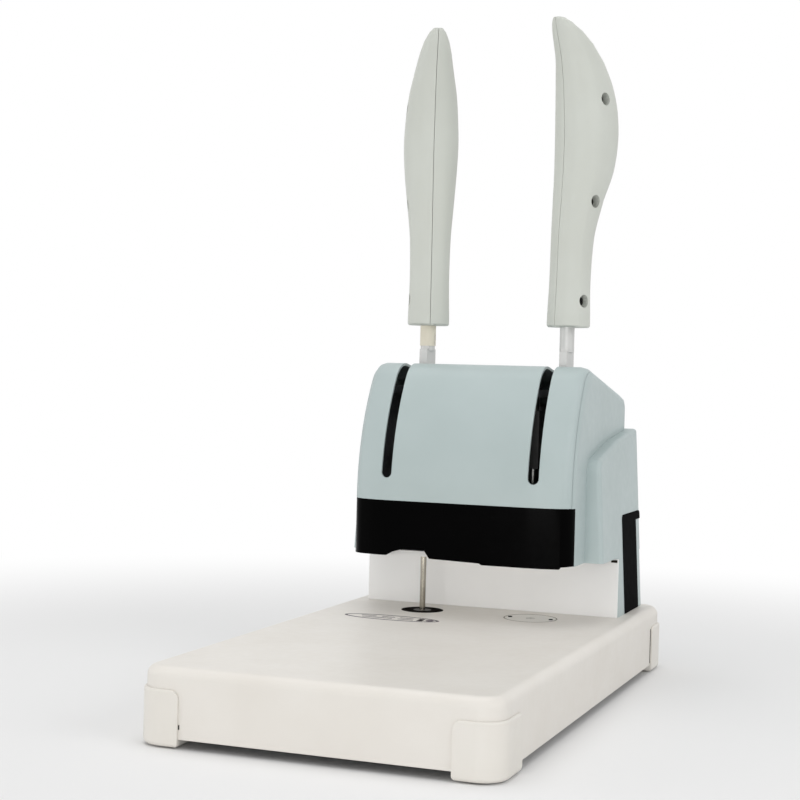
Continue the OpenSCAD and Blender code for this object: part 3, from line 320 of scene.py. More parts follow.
FINISHES = finishes(
    plastic("table_white", (0.885, 0.87, 0.845), (0.87, 0.853, 0.825), 0.42, relief=1.2e-5),
    plastic("foot_white", (0.88, 0.866, 0.84), (0.866, 0.85, 0.82), 0.42, relief=1.2e-5),
    Finish("pad_rubber", (0.09, 0.09, 0.09), (0.13, 0.13, 0.12), 0.85, texture=2500.0, relief=6e-5),
    metal("turned_steel", (0.66, 0.66, 0.65), (0.56, 0.56, 0.56), 0.3, grain=Grain.DRAWN_ACROSS),
    plastic("insert_white", (0.875, 0.868, 0.845), (0.855, 0.845, 0.82), 0.42, texture=2000.0),
    Finish("dark_screw", (0.16, 0.16, 0.16), (0.24, 0.23, 0.22), 0.4, metallic=0.9, worn=0.4),
    Finish("die_steel", (0.8, 0.79, 0.77), (0.72, 0.71, 0.69), 0.34, metallic=0.3),
    plastic("fence_white", (0.935, 0.932, 0.925), (0.92, 0.917, 0.909), 0.45, relief=1.5e-5),
    plastic("head_pale", (0.692, 0.741, 0.74), (0.677, 0.727, 0.725), 0.42, relief=1.6e-5),
    Finish("visor_black", (0.008, 0.008, 0.008), (0.01, 0.01, 0.011), 0.2, 0.04, gloss=0.02, relief=6e-6),
    Finish("panel_black", (0.06, 0.06, 0.062), (0.075, 0.075, 0.077), 0.6, gloss=0.002, texture=1800.0),
    plastic("rear_pale", (0.68, 0.73, 0.73), (0.665, 0.715, 0.712), 0.45, relief=3e-5),
    Finish("inlet_black", (0.05, 0.05, 0.05), (0.075, 0.075, 0.075), 0.4, texture=2200.0, relief=4e-5),
    Finish("frame_paint", (0.22, 0.23, 0.24), (0.27, 0.28, 0.29), 0.45, metallic=0.3, worn=0.5, relief=6e-5),
    metal("shaft_steel", (0.7, 0.7, 0.69), (0.58, 0.58, 0.57), 0.22, grain=Grain.ROLLED),
    metal("rod_chrome", (0.5, 0.5, 0.49), (0.42, 0.42, 0.41), 0.32, grain=Grain.DRAWN_UP),
    metal("gear_steel", (0.42, 0.42, 0.42), (0.32, 0.32, 0.31), 0.38, worn=0.6),
    Finish("arm_steel", (0.8, 0.8, 0.792), (0.77, 0.77, 0.762), 0.46, metallic=0.35, grain=Grain.DRAWN_UP),
    Finish(
        "lever_chrome", (0.8, 0.8, 0.792), (0.775, 0.775, 0.767), 0.46, 0.05, metallic=0.35,
        grain=Grain.DRAWN_UP,
    ),
    plastic("sleeve_cream", (0.89, 0.865, 0.8), (0.872, 0.842, 0.77), 0.5, texture=2400.0),
    plastic("grip_grey", (0.79, 0.802, 0.774), (0.776, 0.787, 0.757), 0.45, relief=1.8e-5),
    Finish(
        "carriage_iron", (0.3, 0.3, 0.3), (0.24, 0.24, 0.235), 0.55, metallic=0.8, grain=Grain.CAST,
        relief=1e-4,
    ),
    metal("motor_can", (0.6, 0.6, 0.6), (0.52, 0.52, 0.52), 0.28, grain=Grain.DRAWN_UP),
    Finish("belt_rubber", (0.04, 0.04, 0.04), (0.06, 0.06, 0.058), 0.8, texture=2600.0, relief=8e-5),
    metal("spindle_steel", (0.64, 0.64, 0.63), (0.52, 0.52, 0.51), 0.24),
    metal("bit_steel", (0.64, 0.62, 0.575), (0.52, 0.5, 0.46), 0.2, grain=Grain.DRAWN_UP),
    metal("heater_brass", (0.72, 0.58, 0.3), (0.6, 0.46, 0.24), 0.32, worn=0.3),
    Finish("dial_black", (0.06, 0.052, 0.045), (0.08, 0.07, 0.06), 0.6, gloss=0.002, texture=2000.0),
    Finish(
        "nylon_white", (0.86, 0.84, 0.79), (0.8, 0.775, 0.72), 0.5, worn=0.5,
        worn_colour=(0.35, 0.33, 0.3),
    ),
    metal("spring_steel", (0.55, 0.55, 0.54), (0.45, 0.45, 0.44), 0.26),
    Finish("switch_black", (0.04, 0.04, 0.04), (0.06, 0.06, 0.06), 0.3, texture=2200.0),
    Finish(
        "plate_steel", (0.55, 0.55, 0.54), (0.47, 0.47, 0.46), 0.4, metallic=0.9, grain=Grain.ROLLED,
        worn=0.4,
    ),
    metal("screw_steel", (0.62, 0.62, 0.61), (0.5, 0.5, 0.49), 0.3, worn=0.4),
)
PRINT_GREY = Finish("print_grey", (0.24, 0.2, 0.25), (0.33, 0.29, 0.33), 0.5, gloss=0.1, texture=900.0)
RING_GREY = Finish("ring_grey", (0.52, 0.5, 0.46), (0.6, 0.58, 0.54), 0.5, gloss=0.1, texture=900.0)
# A dark finish that paints the shade in the gaps between parts.
GAP_PAINTED_SHADE = Finish("gap_painted_shade", (0.1, 0.09, 0.08), (0.16, 0.15, 0.13), 0.7, gloss=0.02, texture=900.0)
# The cutting pad: a dark tone of painted shade over the white nylon, with light wear marks that are painted
# glints.
PAD_PAINTED_SHADE_AND_GLINTS = Finish(
    "worn_pad", (0.22, 0.21, 0.2), (0.12, 0.11, 0.1), 0.4, gloss=0.1, texture=700.0, drift=70.0,
    worn=0.9, worn_colour=(0.84, 0.82, 0.78),
)


# ---- hand tools
# Each edit runs through Blender's own operators, on the piece in hand.


def clear() -> None:
    """Leaves edit mode and deselects everything."""
    if bpy.context.object is not None and bpy.context.object.mode != "OBJECT":
        bpy.ops.object.mode_set(mode="OBJECT")
    bpy.ops.object.select_all(action="DESELECT")


def hold(piece: Piece) -> None:
    """Selects one piece alone and makes it the active one.

    Args:
        piece: The piece that is taken in hand.
    """
    clear()
    piece.select_set(True)
    bpy.context.view_layer.objects.active = piece


@contextmanager
def editing(piece: Piece, faces: bool = False) -> Iterator[None]:
    """Opens a piece in edit mode with all of it selected, and closes it afterwards.

    Args:
        piece: The piece in hand.
        faces: Whether faces are picked from now on.
    """
    hold(piece)
    bpy.ops.object.mode_set(mode="EDIT")
    if faces:
        bpy.context.tool_settings.mesh_select_mode = (False, False, True)
    bpy.ops.mesh.select_all(action="SELECT")
    yield
    bpy.ops.object.mode_set(mode="OBJECT")


def name_it(name: str) -> Piece:
    """Names the piece in hand and its mesh, and gives the piece."""
    bpy.context.object.name = bpy.context.object.data.name = name
    return bpy.context.object


def settle(piece: Piece) -> Piece:
    """Puts a piece's place, turn and size into its mesh.

    Args:
        piece: The piece that was moved, turned or scaled.

    Returns:
        The same piece, at the origin.
    """
    hold(piece)
    bpy.ops.object.transform_apply(location=True, rotation=True, scale=True)
    return piece


def cylinder(
    name: str, sides: int, radius: float, depth: float, middle: Point, turn: Point = (0.0, 0.0, 0.0)
) -> Piece:
    """Makes a plain cylinder.

    Args:
        name: The cylinder's name.
        sides: Number of its sides.
        radius: Its radius.
        depth: Its length.
        middle: Its middle.
        turn: Its turn round x, y and z, from upright.

    Returns:
        The cylinder.
    """
    clear()
    bpy.ops.mesh.primitive_cylinder_add(
        vertices=sides, radius=radius, depth=depth, location=middle, rotation=turn
    )
    return settle(name_it(name))


def block(name: str, size: Point, middle: Point, turn: Point = (0.0, 0.0, 0.0)) -> Piece:
    """Makes a plain block.

    Args:
        name: The block's name.
        size: Its size along x, y and z before it is turned.
        middle: Its middle.
        turn: Its turn round x, y and z.

    Returns:
        The block.
    """
    clear()
    bpy.ops.mesh.primitive_cube_add(size=1.0, location=middle, rotation=turn)
    made = name_it(name)
    made.scale = size
    return settle(made)


def modify(piece: Piece, kind: str, **settings: object) -> None:
    """Adds a modifier with its settings and applies it.

    Args:
        piece: The piece in hand.
        kind: Blender's name of the modifier's type.
        **settings: The modifier's own settings.
    """
    hold(piece)
    modifier = piece.modifiers.new(kind.lower(), kind)
    for key, value in settings.items():
        setattr(modifier, key, value)
    bpy.ops.object.modifier_apply(modifier=modifier.name)


def from_node(node: str, name: str) -> Piece:
    """Copies a CAD node's mesh into a new piece and merges its loose triangles.

    Args:
        node: The CAD node that is copied.
        name: The new piece's name.

    Returns:
        The new piece, with its triangles joined at their corners.
    """
    piece = bpy.data.objects.new(name, frame["nodes"][node].data.copy())
    piece.data.name = name
    bpy.context.scene.collection.objects.link(piece)
    piece.data.materials.clear()
    with editing(piece):
        bpy.ops.mesh.remove_doubles(threshold=WELD)
        bpy.ops.mesh.customdata_custom_splitnormals_clear()
    return piece


def dissolve(piece: Piece, degrees: float = 0.3) -> None:
    """Joins the triangles of faces that are flat to within an angle."""
    with editing(piece):
        bpy.ops.mesh.dissolve_limited(angle_limit=math.radians(degrees))


def round_edges(piece: Piece, width: float, segments: int = 2, degrees: float = 38.0) -> None:
    """Rounds a piece's sharp edges by a small radius.

    Args:
        piece: The piece in hand.
        width: Width of the rounding.
        segments: Faces across the rounding.
        degrees: Edges sharper than this angle are rounded.
    """
    angle = math.radians(degrees)
    modify(piece, "BEVEL", width=width, segments=segments, limit_method="ANGLE", angle_limit=angle)


def smooth(piece: Piece, degrees: float = 40.0) -> None:
    """Shades a piece smooth apart from its sharp edges, large faces staying flat.

    Args:
        piece: The piece in hand.
        degrees: Edges sharper than this angle stay sharp.
    """
    large_faces_first = 80
    hold(piece)
    bpy.ops.object.shade_smooth_by_angle(angle=math.radians(degrees))
    modify(piece, "WEIGHTED_NORMAL", keep_sharp=True, weight=large_faces_first)


def select_edges(piece: Piece, wanted: Callable[[Vector], bool]) -> None:
    """Selects the edges whose two ends both pass a test.

    Args:
        piece: The piece, in edit mode.
        wanted: Takes an edge's end, and says whether it passes.
    """
    mesh = bmesh.from_edit_mesh(piece.data)
    bpy.context.tool_settings.mesh_select_mode = (False, True, False)
    bpy.ops.mesh.select_all(action="DESELECT")
    for edge in mesh.edges:
        edge.select = all(wanted(end.co) for end in edge.verts)
    bmesh.update_edit_mesh(piece.data)


def cut(piece: Piece, cutter: Piece) -> None:
    """Cuts the cutter's form out of a piece and clears the cutter away."""
    modify(piece, "BOOLEAN", operation="DIFFERENCE", object=cutter, solver="EXACT")
    bpy.data.objects.remove(cutter, do_unlink=True)


def join(pieces: Iterable[Piece], name: str) -> Piece:
    """Joins pieces into one object.

    Args:
        pieces: The pieces, at least two.
        name: The name of the whole.

    Returns:
        The joined piece.
    """
    first, *others = pieces
    hold(first)
    for piece in others:
        piece.select_set(True)
    bpy.ops.object.join()
    return name_it(name)


def dress(piece: Piece, finish: Finish) -> None:
    """Gives the whole piece one finish."""
    piece.data.materials.clear()
    piece.data.materials.append(finish.material())


def hand_over(piece: Piece, finish: Finish, body: str, slot: str, *nodes: str) -> None:
    """Dresses a piece and hands it to the frame.

    Args:
        piece: The finished piece.
        finish: Its finish.
        body: The CAD body that it moves with.
        slot: The record's material slot that its finish belongs to. It is not used.
        *nodes: CAD nodes that it stands for.
    """
    dress(piece, finish)
    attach(piece, body)
    if nodes:
        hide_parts(*nodes)
    log.info("%s: %d faces on %s", piece.name, len(piece.data.polygons), body)


# ---- the machine


def slot_of(node: str) -> str:
    """The record's material slot of a CAD node."""
    return next(part["material_slot"] for part in frame["record"]["subparts"] if part["node"] == node)


def body_of(node: str) -> str:
    """The CAD body that a node belongs to."""
    return frame["nodes"][node]["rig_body"]


@dataclass
class Mouldings:
    """The plastic mouldings and sheets: CAD forms with their edges rounded.

    A foot's sole is rounded further, apart from the seat of its pad. The pads' middles are given by
    their distances from the machine's middle.
    """

    rounded: dict[str, float] = field(
        default_factory=lambda: {
            "base_shell": 0.0006,
            **{f"foot_{end}_{side}": 0.0006 for end in ("front", "rear") for side in SIDES},
            "fence": 0.0004,
            **{f"side_panel_{side}": 0.0004 for side in SIDES},
            "die_plate": 0.0004,
            "pad_dial": 0.0005,
            "power_inlet": 0.0005,
            "power_switch": 0.0005,
            "heater_block": 0.0004,
            "spindle": 0.0003,
        }
    )
    smoothed: tuple[str, ...] = ("housing", "front_cover", "visor", "rear_panel")
    sole_top: float = 0.0012
    sole_round: float = 0.0035
    sole_faces: int = 5
    pad_middle: Span = (0.121, 0.237)
    pad_reach: float = 0.0115

    def build(self) -> None:
        """Makes every moulding from its CAD form."""
        for node, width in self.rounded.items():
            piece = from_node(node, node + "_form")
            dissolve(piece)
            if node.startswith("foot"):
                self._round_sole(piece)
            round_edges(piece, width)
            self._hand_over(piece, node)
        for node in self.smoothed:
            self._hand_over(from_node(node, node + "_form"), node)

    def _on_rim(self, end: Vector) -> bool:
        """Says whether a point lies low on a foot and outside its pad's seat."""
        away = math.hypot(abs(end.x) - self.pad_middle[0], abs(end.y) - self.pad_middle[1])
        return end.z < self.sole_top and away > self.pad_reach

    def _round_sole(self, piece: Piece) -> None:
        """Rounds a foot's lowest outer edges by a larger radius.

        Args:
            piece: The foot.
        """
        with editing(piece):
            select_edges(piece, self._on_rim)
            bpy.ops.mesh.bevel(
                offset=self.sole_round, segments=self.sole_faces, affect="EDGES", clamp_overlap=True
            )

    @staticmethod
    def _hand_over(piece: Piece, node: str) -> None:
        """Shades and dresses a moulding, and lets it stand for the node that it was made from."""
        smooth(piece)
        hand_over(piece, FINISHES[slot_of(node)], body_of(node), slot_of(node), node)


@dataclass(frozen=True)
class CrossHead:
    """A domed screw head with a cross recess, on z = 0 and pointing up.

    The dome's edge and the recess's depth are shares of the height, and the blade's length and
    width are shares of the radius.
    """

    radius: float
    height: float
    sides: int = 32
    dome: float = 0.5
    dome_faces: int = 4
    blade_length: float = 1.2
    blade_width: float = 0.24
    blade_depth: float = 0.9

    def make(self, name: str) -> Piece:
        """Turns the head and presses the cross into it.

        Args:
            name: The head's name.

        Returns:
            The head, at the origin.
        """
        middle = (0.0, 0.0, self.height / 2.0)
        head = cylinder(name, self.sides, self.radius, self.height, middle)
        top = self.height - WELD
        with editing(head):
            select_edges(head, lambda end: end.z > top)
            width = self.height * self.dome
            bpy.ops.mesh.bevel(offset=width, segments=self.dome_faces, affect="EDGES")
        across = (self.radius * self.blade_length, self.radius * self.blade_width)
        size = (*across, self.height * self.blade_depth)
        for turn in (0.0, QUARTER_TURN):
            cut(head, block("blade", size, (0.0, 0.0, self.height), (0.0, 0.0, turn)))
        return head


@dataclass(frozen=True)
class Section:
    """One section of a handle: share of its length, half depth, half thickness and middle."""

    share: float
    depth: float
    thick: float
    middle: float


@dataclass
class Handles:
    """Both lever handles: two moulded halves each, parted in the plane of the belly.

    A handle is drawn upright at the origin, its thickness along x and its belly towards +y. Then it
    is turned and stood on its lever. The flattened front runs from one angle to another round the
    handle, counted from the belly, and fades out below the tip.
    """

    length: float = 0.272
    foot: float = 0.314
    turn: float = 25.0
    left_length: float = 0.985
    sides: int = 64
    squareness: float = 2.4
    steps: int = 4
    seam: float = 0.0002
    seam_round: float = 0.0005
    seam_faces: int = 3
    seam_angle: float = 45.0
    shell_crease: float = 50.0
    screw_crease: float = 35.0
    bore: float = 0.0066
    bore_depth: float = 0.107
    bore_below: float = 0.01
    recess: float = 0.0057
    recess_reach: float = 0.03
    hole_sides: int = 40
    head: CrossHead = CrossHead(radius=0.0043, height=0.0022)
    flat: float = 0.0011
    flat_from: float = 114.0
    flat_to: float = 172.0
    flat_ease: float = 0.4
    flat_top: float = 0.985
    flat_fade: float = 0.1
    sections: tuple[Section, ...] = (
        Section(0.000, 0.0172, 0.0181, 0.0004),
        Section(0.006, 0.0183, 0.0190, 0.0004),
        Section(0.150, 0.0174, 0.0181, 0.0010),
        Section(0.300, 0.0186, 0.0188, 0.0032),
        Section(0.420, 0.0225, 0.0215, 0.0095),
        Section(0.520, 0.0280, 0.0239, 0.0165),
        Section(0.625, 0.0300, 0.0252, 0.0190),
        Section(0.720, 0.0304, 0.0241, 0.0178),
        Section(0.800, 0.0284, 0.0218, 0.0137),
        Section(0.875, 0.0248, 0.0178, 0.0066),
        Section(0.930, 0.0200, 0.0145, -0.0026),
        Section(0.965, 0.0149, 0.0114, -0.0108),
        Section(0.990, 0.0092, 0.0076, -0.0182),
        Section(1.000, 0.0063, 0.0048, -0.0216),
    )
    screws: tuple[Point, ...] = ((0.012, 0.0, 0.085), (0.0135, 0.009, 0.412), (0.015, 0.0165, 0.748))

    def build(self) -> None:
        """Makes the right handle, and the left one as its mirror image."""
        for side, lever in ((1, "press"), (-1, "drill")):
            body = lever + "_lever"
            for outer, half in ((True, "outer"), (False, "inner")):
                piece = self._half(f"{lever}_grip_{half}_shell", outer)
                self._set_up(piece, side)
                smooth(piece, self.shell_crease)
                hand_over(piece, FINISHES["grip_grey"], body, "grip_grey", f"{lever}_grip_{half}")
            heads = [self._screw(place, f"{lever}_grip_screw") for place in self.screws]
            screws = join(heads, f"{lever}_grip_cross_screws")
            self._set_up(screws, side)
            smooth(screws, self.screw_crease)
            hand_over(screws, FINISHES["dark_screw"], body, "dark_screw", f"{lever}_grip_screws")

    def _rows(self) -> list[Section]:
        """Draws smooth rows between the sections, by the curve that the CAD handle follows.

        Returns:
            The rows from the foot to the tip.
        """
        rows = []
        last = len(self.sections) - 1
        for i in range(last):
            near = [self.sections[min(max(i + k, 0), last)] for k in (-1, 0, 1, 2)]
            rows += [self._between(near, step / self.steps) for step in range(self.steps)]
        return [*rows, self.sections[last]]

    @staticmethod
    def _between(near: list[Section], t: float) -> Section:
        """Eases between the middle two of four sections, its share rising evenly.

        Args:
            near: The four sections in order.
            t: How far it is from the second to the third, from 0 to 1.

        Returns:
            The section at that place on the curve.
        """
        values = [near[1].share + (near[2].share - near[1].share) * t]
        for key in ("depth", "thick", "middle"):
            a, b, c, d = (getattr(section, key) for section in near)
            curve = 2 * b + (c - a) * t + (2 * a - 5 * b + 4 * c - d) * t**2 + (3 * b - 3 * c + d - a) * t**3
            values.append(0.5 * curve)
        return Section(*values)

    def _loft(self, name: str) -> Piece:
        """Draws the handle up row by row from a squarish disc.

        Args:
            name: The handle's name.

        Returns:
            The whole handle, closed at both ends.
        """
        clear()
        bpy.ops.mesh.primitive_circle_add(vertices=self.sides, fill_type="NGON")
        piece = name_it(name)
        for vertex in piece.data.vertices:
            for axis in (0, 1):
                reach = vertex.co[axis]
                vertex.co[axis] = math.copysign(abs(reach) ** (2.0 / self.squareness), reach)
        before = Section(0.0, 1.0, 1.0, 0.0)
        with editing(piece, faces=True):
            for count, row in enumerate(self._rows()):
                if count > 0:
                    bpy.ops.mesh.extrude_region_move()
                bpy.ops.transform.resize(
                    value=(row.thick / before.thick, row.depth / before.depth, 1.0),
                    center_override=(0.0, before.middle, before.share * self.length),
                )
                rise = (row.share - before.share) * self.length
                bpy.ops.transform.translate(value=(0.0, row.middle - before.middle, rise))
                before = row
            bpy.ops.mesh.select_all(action="SELECT")
            bpy.ops.mesh.normals_make_consistent(inside=False)
        return piece

    def _flatten_front(self, piece: Piece) -> None:
        """Draws in the front of each side a little, which leaves a soft ridge along the side.

        Args:
            piece: The whole handle.
        """
        rows = self._rows()
        group = piece.vertex_groups.new(name="front")
        for vertex in piece.data.vertices:
            share = vertex.co.z / self.length
            row = min(rows, key=lambda r: abs(r.share - share))
            across, along = abs(vertex.co.x) / row.thick, (vertex.co.y - row.middle) / row.depth
            around = math.degrees(math.atan2(across, along))
            inward = (around - self.flat_from) / (self.flat_to - self.flat_from)
            weight = 0.0
            if 0.0 < inward < 1.0:
                fade = min(1.0, max(0.0, (self.flat_top - share) / self.flat_fade))
                weight = math.sin(math.pi * inward) ** self.flat_ease * fade
            group.add([vertex.index], weight, "REPLACE")
        modify(piece, "DISPLACE", strength=-self.flat, mid_level=0.0, vertex_group="front")

    def _half(self, name: str, outer: bool) -> Piece:
        """Parts the handle, rounds the edges of the parting, and bores it for the rod and screws.

        Args:
            name: The half's name.
            outer: Whether it is the half with the screws.

        Returns:
            The half, still upright at the origin.
        """
        piece = self._loft(name)
        self._flatten_front(piece)
        side = 1.0 if outer else -1.0
        plane = {"plane_co": (side * self.seam, 0.0, 0.0), "plane_no": (side, 0.0, 0.0)}
        with editing(piece):
            bpy.ops.mesh.bisect(**plane, use_fill=True, clear_inner=True)
        round_edges(piece, self.seam_round, self.seam_faces, self.seam_angle)
        depth = self.bore_depth + self.bore_below
        middle = (0.0, 0.0, self.bore_depth - depth / 2.0)
        cut(piece, cylinder("bore", self.hole_sides, self.bore, depth, middle))
        for head_depth, y, share in self.screws if outer else ():
            depth = self.recess_reach
            middle = (head_depth + depth / 2.0, y, share * self.length)
            turn = (0.0, QUARTER_TURN, 0.0)
            cut(piece, cylinder("recess", self.hole_sides, self.recess, depth, middle, turn))
        return piece

    def _screw(self, place: Point, name: str) -> Piece:
        """Makes one sunk cross screw, its head turned to the side.

        Args:
            place: The screw's depth, its y and its share of the length.
            name: The screw's name.

        Returns:
            The screw in its place in the upright handle.
        """
        depth, y, share = place
        head = self.head.make(name)
        head.rotation_euler = (0.0, QUARTER_TURN, 0.0)
        head.location = (depth, y, share * self.length)
        return settle(head)

    def _set_up(self, piece: Piece, side: int) -> None:
        """Turns a finished piece to its belly's side and stands it on its lever.

        Args:
            piece: The upright piece.
            side: 1 for the right handle and -1 for the left one, which is mirrored.
        """
        piece.rotation_euler = (0.0, 0.0, -math.radians(self.turn))
        piece.location = (LEVER_X, PIVOT_Y, self.foot)
        settle(piece)
        if side < 0:
            piece.location = (0.0, 0.0, self.foot * (1.0 - self.left_length))
            piece.scale = (-1.0, 1.0, self.left_length)
            settle(piece)
            with editing(piece):
                bpy.ops.mesh.normals_make_consistent(inside=False)


@dataclass(frozen=True)
class Collar:
    """The smooth collar between a lever's flat arm and its round rod, its middle at a height."""

    lever: str
    x: float
    middle: float
    radius: float = 0.00655
    height: float = 0.0056
    sides: int = 48
    rounding: float = 0.0004

    def build(self) -> None:
        """Turns the collar and slips it over the rod."""
        place = (self.x, PIVOT_Y, self.middle)
        collar = cylinder(self.lever + "_collar", self.sides, self.radius, self.height, place)
        round_edges(collar, self.rounding, segments=3)
        smooth(collar)
        hand_over(collar, FINISHES["lever_chrome"], self.lever, "lever_chrome")


class Facing(Enum):
    """The way in which a screw's head faces."""

    UP = (0.0, 0.0, 1.0)
    DOWN = (0.0, 0.0, -1.0)
    BACK = (0.0, 1.0, 0.0)


@dataclass(frozen=True)
class ScrewSet:
    """The screws of one node: a cross head and a plain shank wherever the node has a screw.

    The shank is a radius. The heads may stand proud of the node's screws and take another finish
    than its slot's.
    """

    node: str
    facing: Facing
    head: CrossHead
    shank: float
    shank_sides: int = 24
    proud: float = 0.0
    finish: str = "screw_steel"
    crease: float = 35.0

    def build(self) -> None:
        """Turns every screw of the set to its side and sets it in its place."""
        screws = [self._screw(low, high) for low, high in self._places()]
        piece = join(screws, self.node + "_cross_heads")
        smooth(piece, self.crease)
        hand_over(piece, FINISHES[self.finish], body_of(self.node), slot_of(self.node), self.node)

    def _places(self) -> list[tuple[Vector, Vector]]:
        """Measures the node's screws.

        Returns:
            Lowest and highest corner of each one.
        """
        hold(from_node(self.node, self.node + "_loose"))
        bpy.ops.mesh.separate(type="LOOSE")
        boxes = []
        for part in list(bpy.context.selected_objects):
            corners = [vertex.co for vertex in part.data.vertices]
            low = Vector(min(corner[i] for corner in corners) for i in range(3))
            high = Vector(max(corner[i] for corner in corners) for i in range(3))
            boxes.append((low, high))
            bpy.data.objects.remove(part, do_unlink=True)
        return sorted(boxes, key=lambda box: tuple(box[0]))

    def _screw(self, low: Vector, high: Vector) -> Piece:
        """Makes one screw between the two corners of its place.

        Args:
            low: Lowest corner of the screw in the CAD node.
            high: Its highest corner.

        Returns:
            The screw with its head and shank joined.
        """
        axis = Vector(self.facing.value)
        span = abs((high - low).dot(axis))
        top = (low + high) / 2.0 + axis * (span / 2.0 + self.proud)
        head = self.head.make(self.node + "_head")
        depth = span + self.proud - self.head.height + WELD
        middle = (0.0, 0.0, -depth / 2.0 + WELD)
        shank = cylinder("shank", self.shank_sides, self.shank, depth, middle)
        screw = join([head, shank], self.node + "_screw")
        screw.rotation_mode = "QUATERNION"
        screw.rotation_quaternion = Vector((0.0, 0.0, 1.0)).rotation_difference(axis)
        screw.location = top - axis * self.head.height
        return settle(screw)


@dataclass
class ReturnSpring:
    """A return spring wound round an inner guide rod, pressed together by its carriage.

    The end rise is each end curl's share of the height: these curls lie almost flat.
    """

    name: str
    node: str
    joint: str
    x: float
    y: float = 0.082
    low: float = 0.1159
    high: float = 0.1891
    radius: float = 0.0056
    wire: float = 0.0007
    curls: int = 9
    points: int = 24
    end_rise: float = 0.03
    seat: float = 0.115
    keep: float = 0.278

    def _share(self, turn: float) -> float:
        """Works out the share of the height that is reached after a share of the turns.

        Args:
            turn: Share of the turns, from 0 to 1.

        Returns:
            Share of the height, from 0 to 1.
        """
        end = 1.0 / self.curls
        flat = min(turn, end) + max(turn - 1.0 + end, 0.0)
        steep = (1.0 - 2.0 * self.end_rise) / (1.0 - 2.0 * end)
        return self.end_rise * flat / end + steep * (turn - flat)

    def build(self) -> None:
        """Winds the spring as one round wire with closed ends."""
        steps = self.curls * self.points
        curve = bpy.data.curves.new(self.name, "CURVE")
        curve.dimensions = "3D"
        curve.bevel_depth = self.wire
        curve.bevel_resolution = 3
        curve.use_fill_caps = True
        path = curve.splines.new("POLY")
        path.points.add(steps)
        for i, point in enumerate(path.points):
            angle = 2.0 * math.pi * i / self.points
            x = self.x + self.radius * math.cos(angle)
            y = self.y + self.radius * math.sin(angle)
            z = self.low + (self.high - self.low) * self._share(i / steps)
            point.co = (x, y, z, 1.0)
        wound = bpy.data.objects.new(self.name, curve)
        bpy.context.scene.collection.objects.link(wound)
        hold(wound)
        bpy.ops.object.convert(target="MESH")
        piece = name_it(self.name)
        bpy.ops.object.shade_smooth()
        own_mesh(piece)
        hand_over(piece, FINISHES["spring_steel"], "frame", "spring_steel", self.node)


def flat_ring(name: str, middle: Point, half_width: float, half_depth: float, line: float) -> Piece:
    """Draws a flat oval line: a disc that is inset, with its middle taken out.

    Args:
        name: The ring's name.
        middle: Its middle.
        half_width: Half its width, along x.
        half_depth: Half its depth, along y.
        line: Width of the line.

    Returns:
        The flat ring.
    """
    clear()
    bpy.ops.mesh.primitive_circle_add(vertices=96, fill_type="NGON", location=middle)
    ring = name_it(name)
    ring.scale = (half_width, half_depth, 1.0)
    settle(ring)
    with editing(ring, faces=True):
        bpy.ops.mesh.inset(thickness=line, use_even_offset=False)
        bpy.ops.mesh.delete(type="FACE")
    return ring


@dataclass
class TablePrint:
    """The printed oval on the table: a plain outline with plain bars, as a thin film."""

    middle: Point = (-0.057, 0.044, TABLE_TOP)
    half_width: float = 0.0435
    half_depth: float = 0.0135
    line: float = 0.0024
    bar_round: float = 0.45
    bars: tuple[tuple[float, float, float, float], ...] = (
        (-0.022, 0.0035, 0.014, 0.0022),
        (-0.004, 0.0035, 0.012, 0.0022),
        (0.013, 0.0035, 0.013, 0.0022),
        (-0.012, -0.0035, 0.028, 0.0022),
        (0.014, -0.0035, 0.014, 0.0022),
        (0.027, 0.0, 0.005, 0.011),
        (0.035, 0.0, 0.007, 0.008),
    )

    def build(self) -> None:
        """Prints the outline and the bars."""
        marks = [flat_ring("oval_outline", self.middle, self.half_width, self.half_depth, self.line)]
        marks += [self._bar(*bar) for bar in self.bars]
        print_film = join(marks, "table_print")
        modify(print_film, "SOLIDIFY", thickness=FILM, offset=1.0)
        hand_over(print_film, PRINT_GREY, "frame", "table_white")

    def _bar(self, x: float, y: float, length: float, width: float) -> Piece:
        """Draws one plain bar with round ends.

        Args:
            x: Its middle's x, counted from the oval's middle.
            y: Its middle's y.
            length: Its length, along x.
            width: Its width.

        Returns:
            The flat bar.
        """
        clear()
        place = (self.middle[0] + x, self.middle[1] + y, self.middle[2])
        bpy.ops.mesh.primitive_plane_add(size=1.0, location=place)
        piece = name_it("bar")
        piece.scale = (length, width, 1.0)
        settle(piece)
        with editing(piece):
            bpy.ops.mesh.bevel(offset=width * self.bar_round, segments=4, affect="VERTICES")
        return piece


@dataclass
class Gaps:
    """The fine dark lines of the photo: a ring round the die, and strips of painted shade in the gaps at
    three joints.

    A strip has its name, its middle and its size.
    """

    die: Point = (0.0504, 0.104, TABLE_TOP)
    die_radius: float = 0.0236
    die_line: float = 0.0012
    # Dark strips of painted shade, where gaps between parts fall in shade.
    strips: tuple[tuple[str, Point, Point], ...] = (
        ("foot_gap_shadow", (0.135, 0.2085, 0.0245), (0.0008, 0.0008, 0.0315)),
        ("foot_hole_shadow", (-0.1016, -0.255, 0.0158), (0.001, 0.0008, 0.0034)),
        ("fence_gap_shadow", (0.1148, 0.143, 0.1077), (0.0056, 0.0012, 0.0022)),
    )
    strip_round: float = 0.0003

    def build(self) -> None:
        """Draws the ring round the die and sets in the dark strips of painted shade."""
        ring = flat_ring("die_ring", self.die, self.die_radius, self.die_radius, self.die_line)
        modify(ring, "SOLIDIFY", thickness=FILM, offset=1.0)
        hand_over(ring, RING_GREY, "frame", "insert_white")
        for name, middle, size in self.strips:
            strip = block(name, size, middle)
            round_edges(strip, self.strip_round)
            smooth(strip)
            hand_over(strip, GAP_PAINTED_SHADE, "frame", "panel_black")


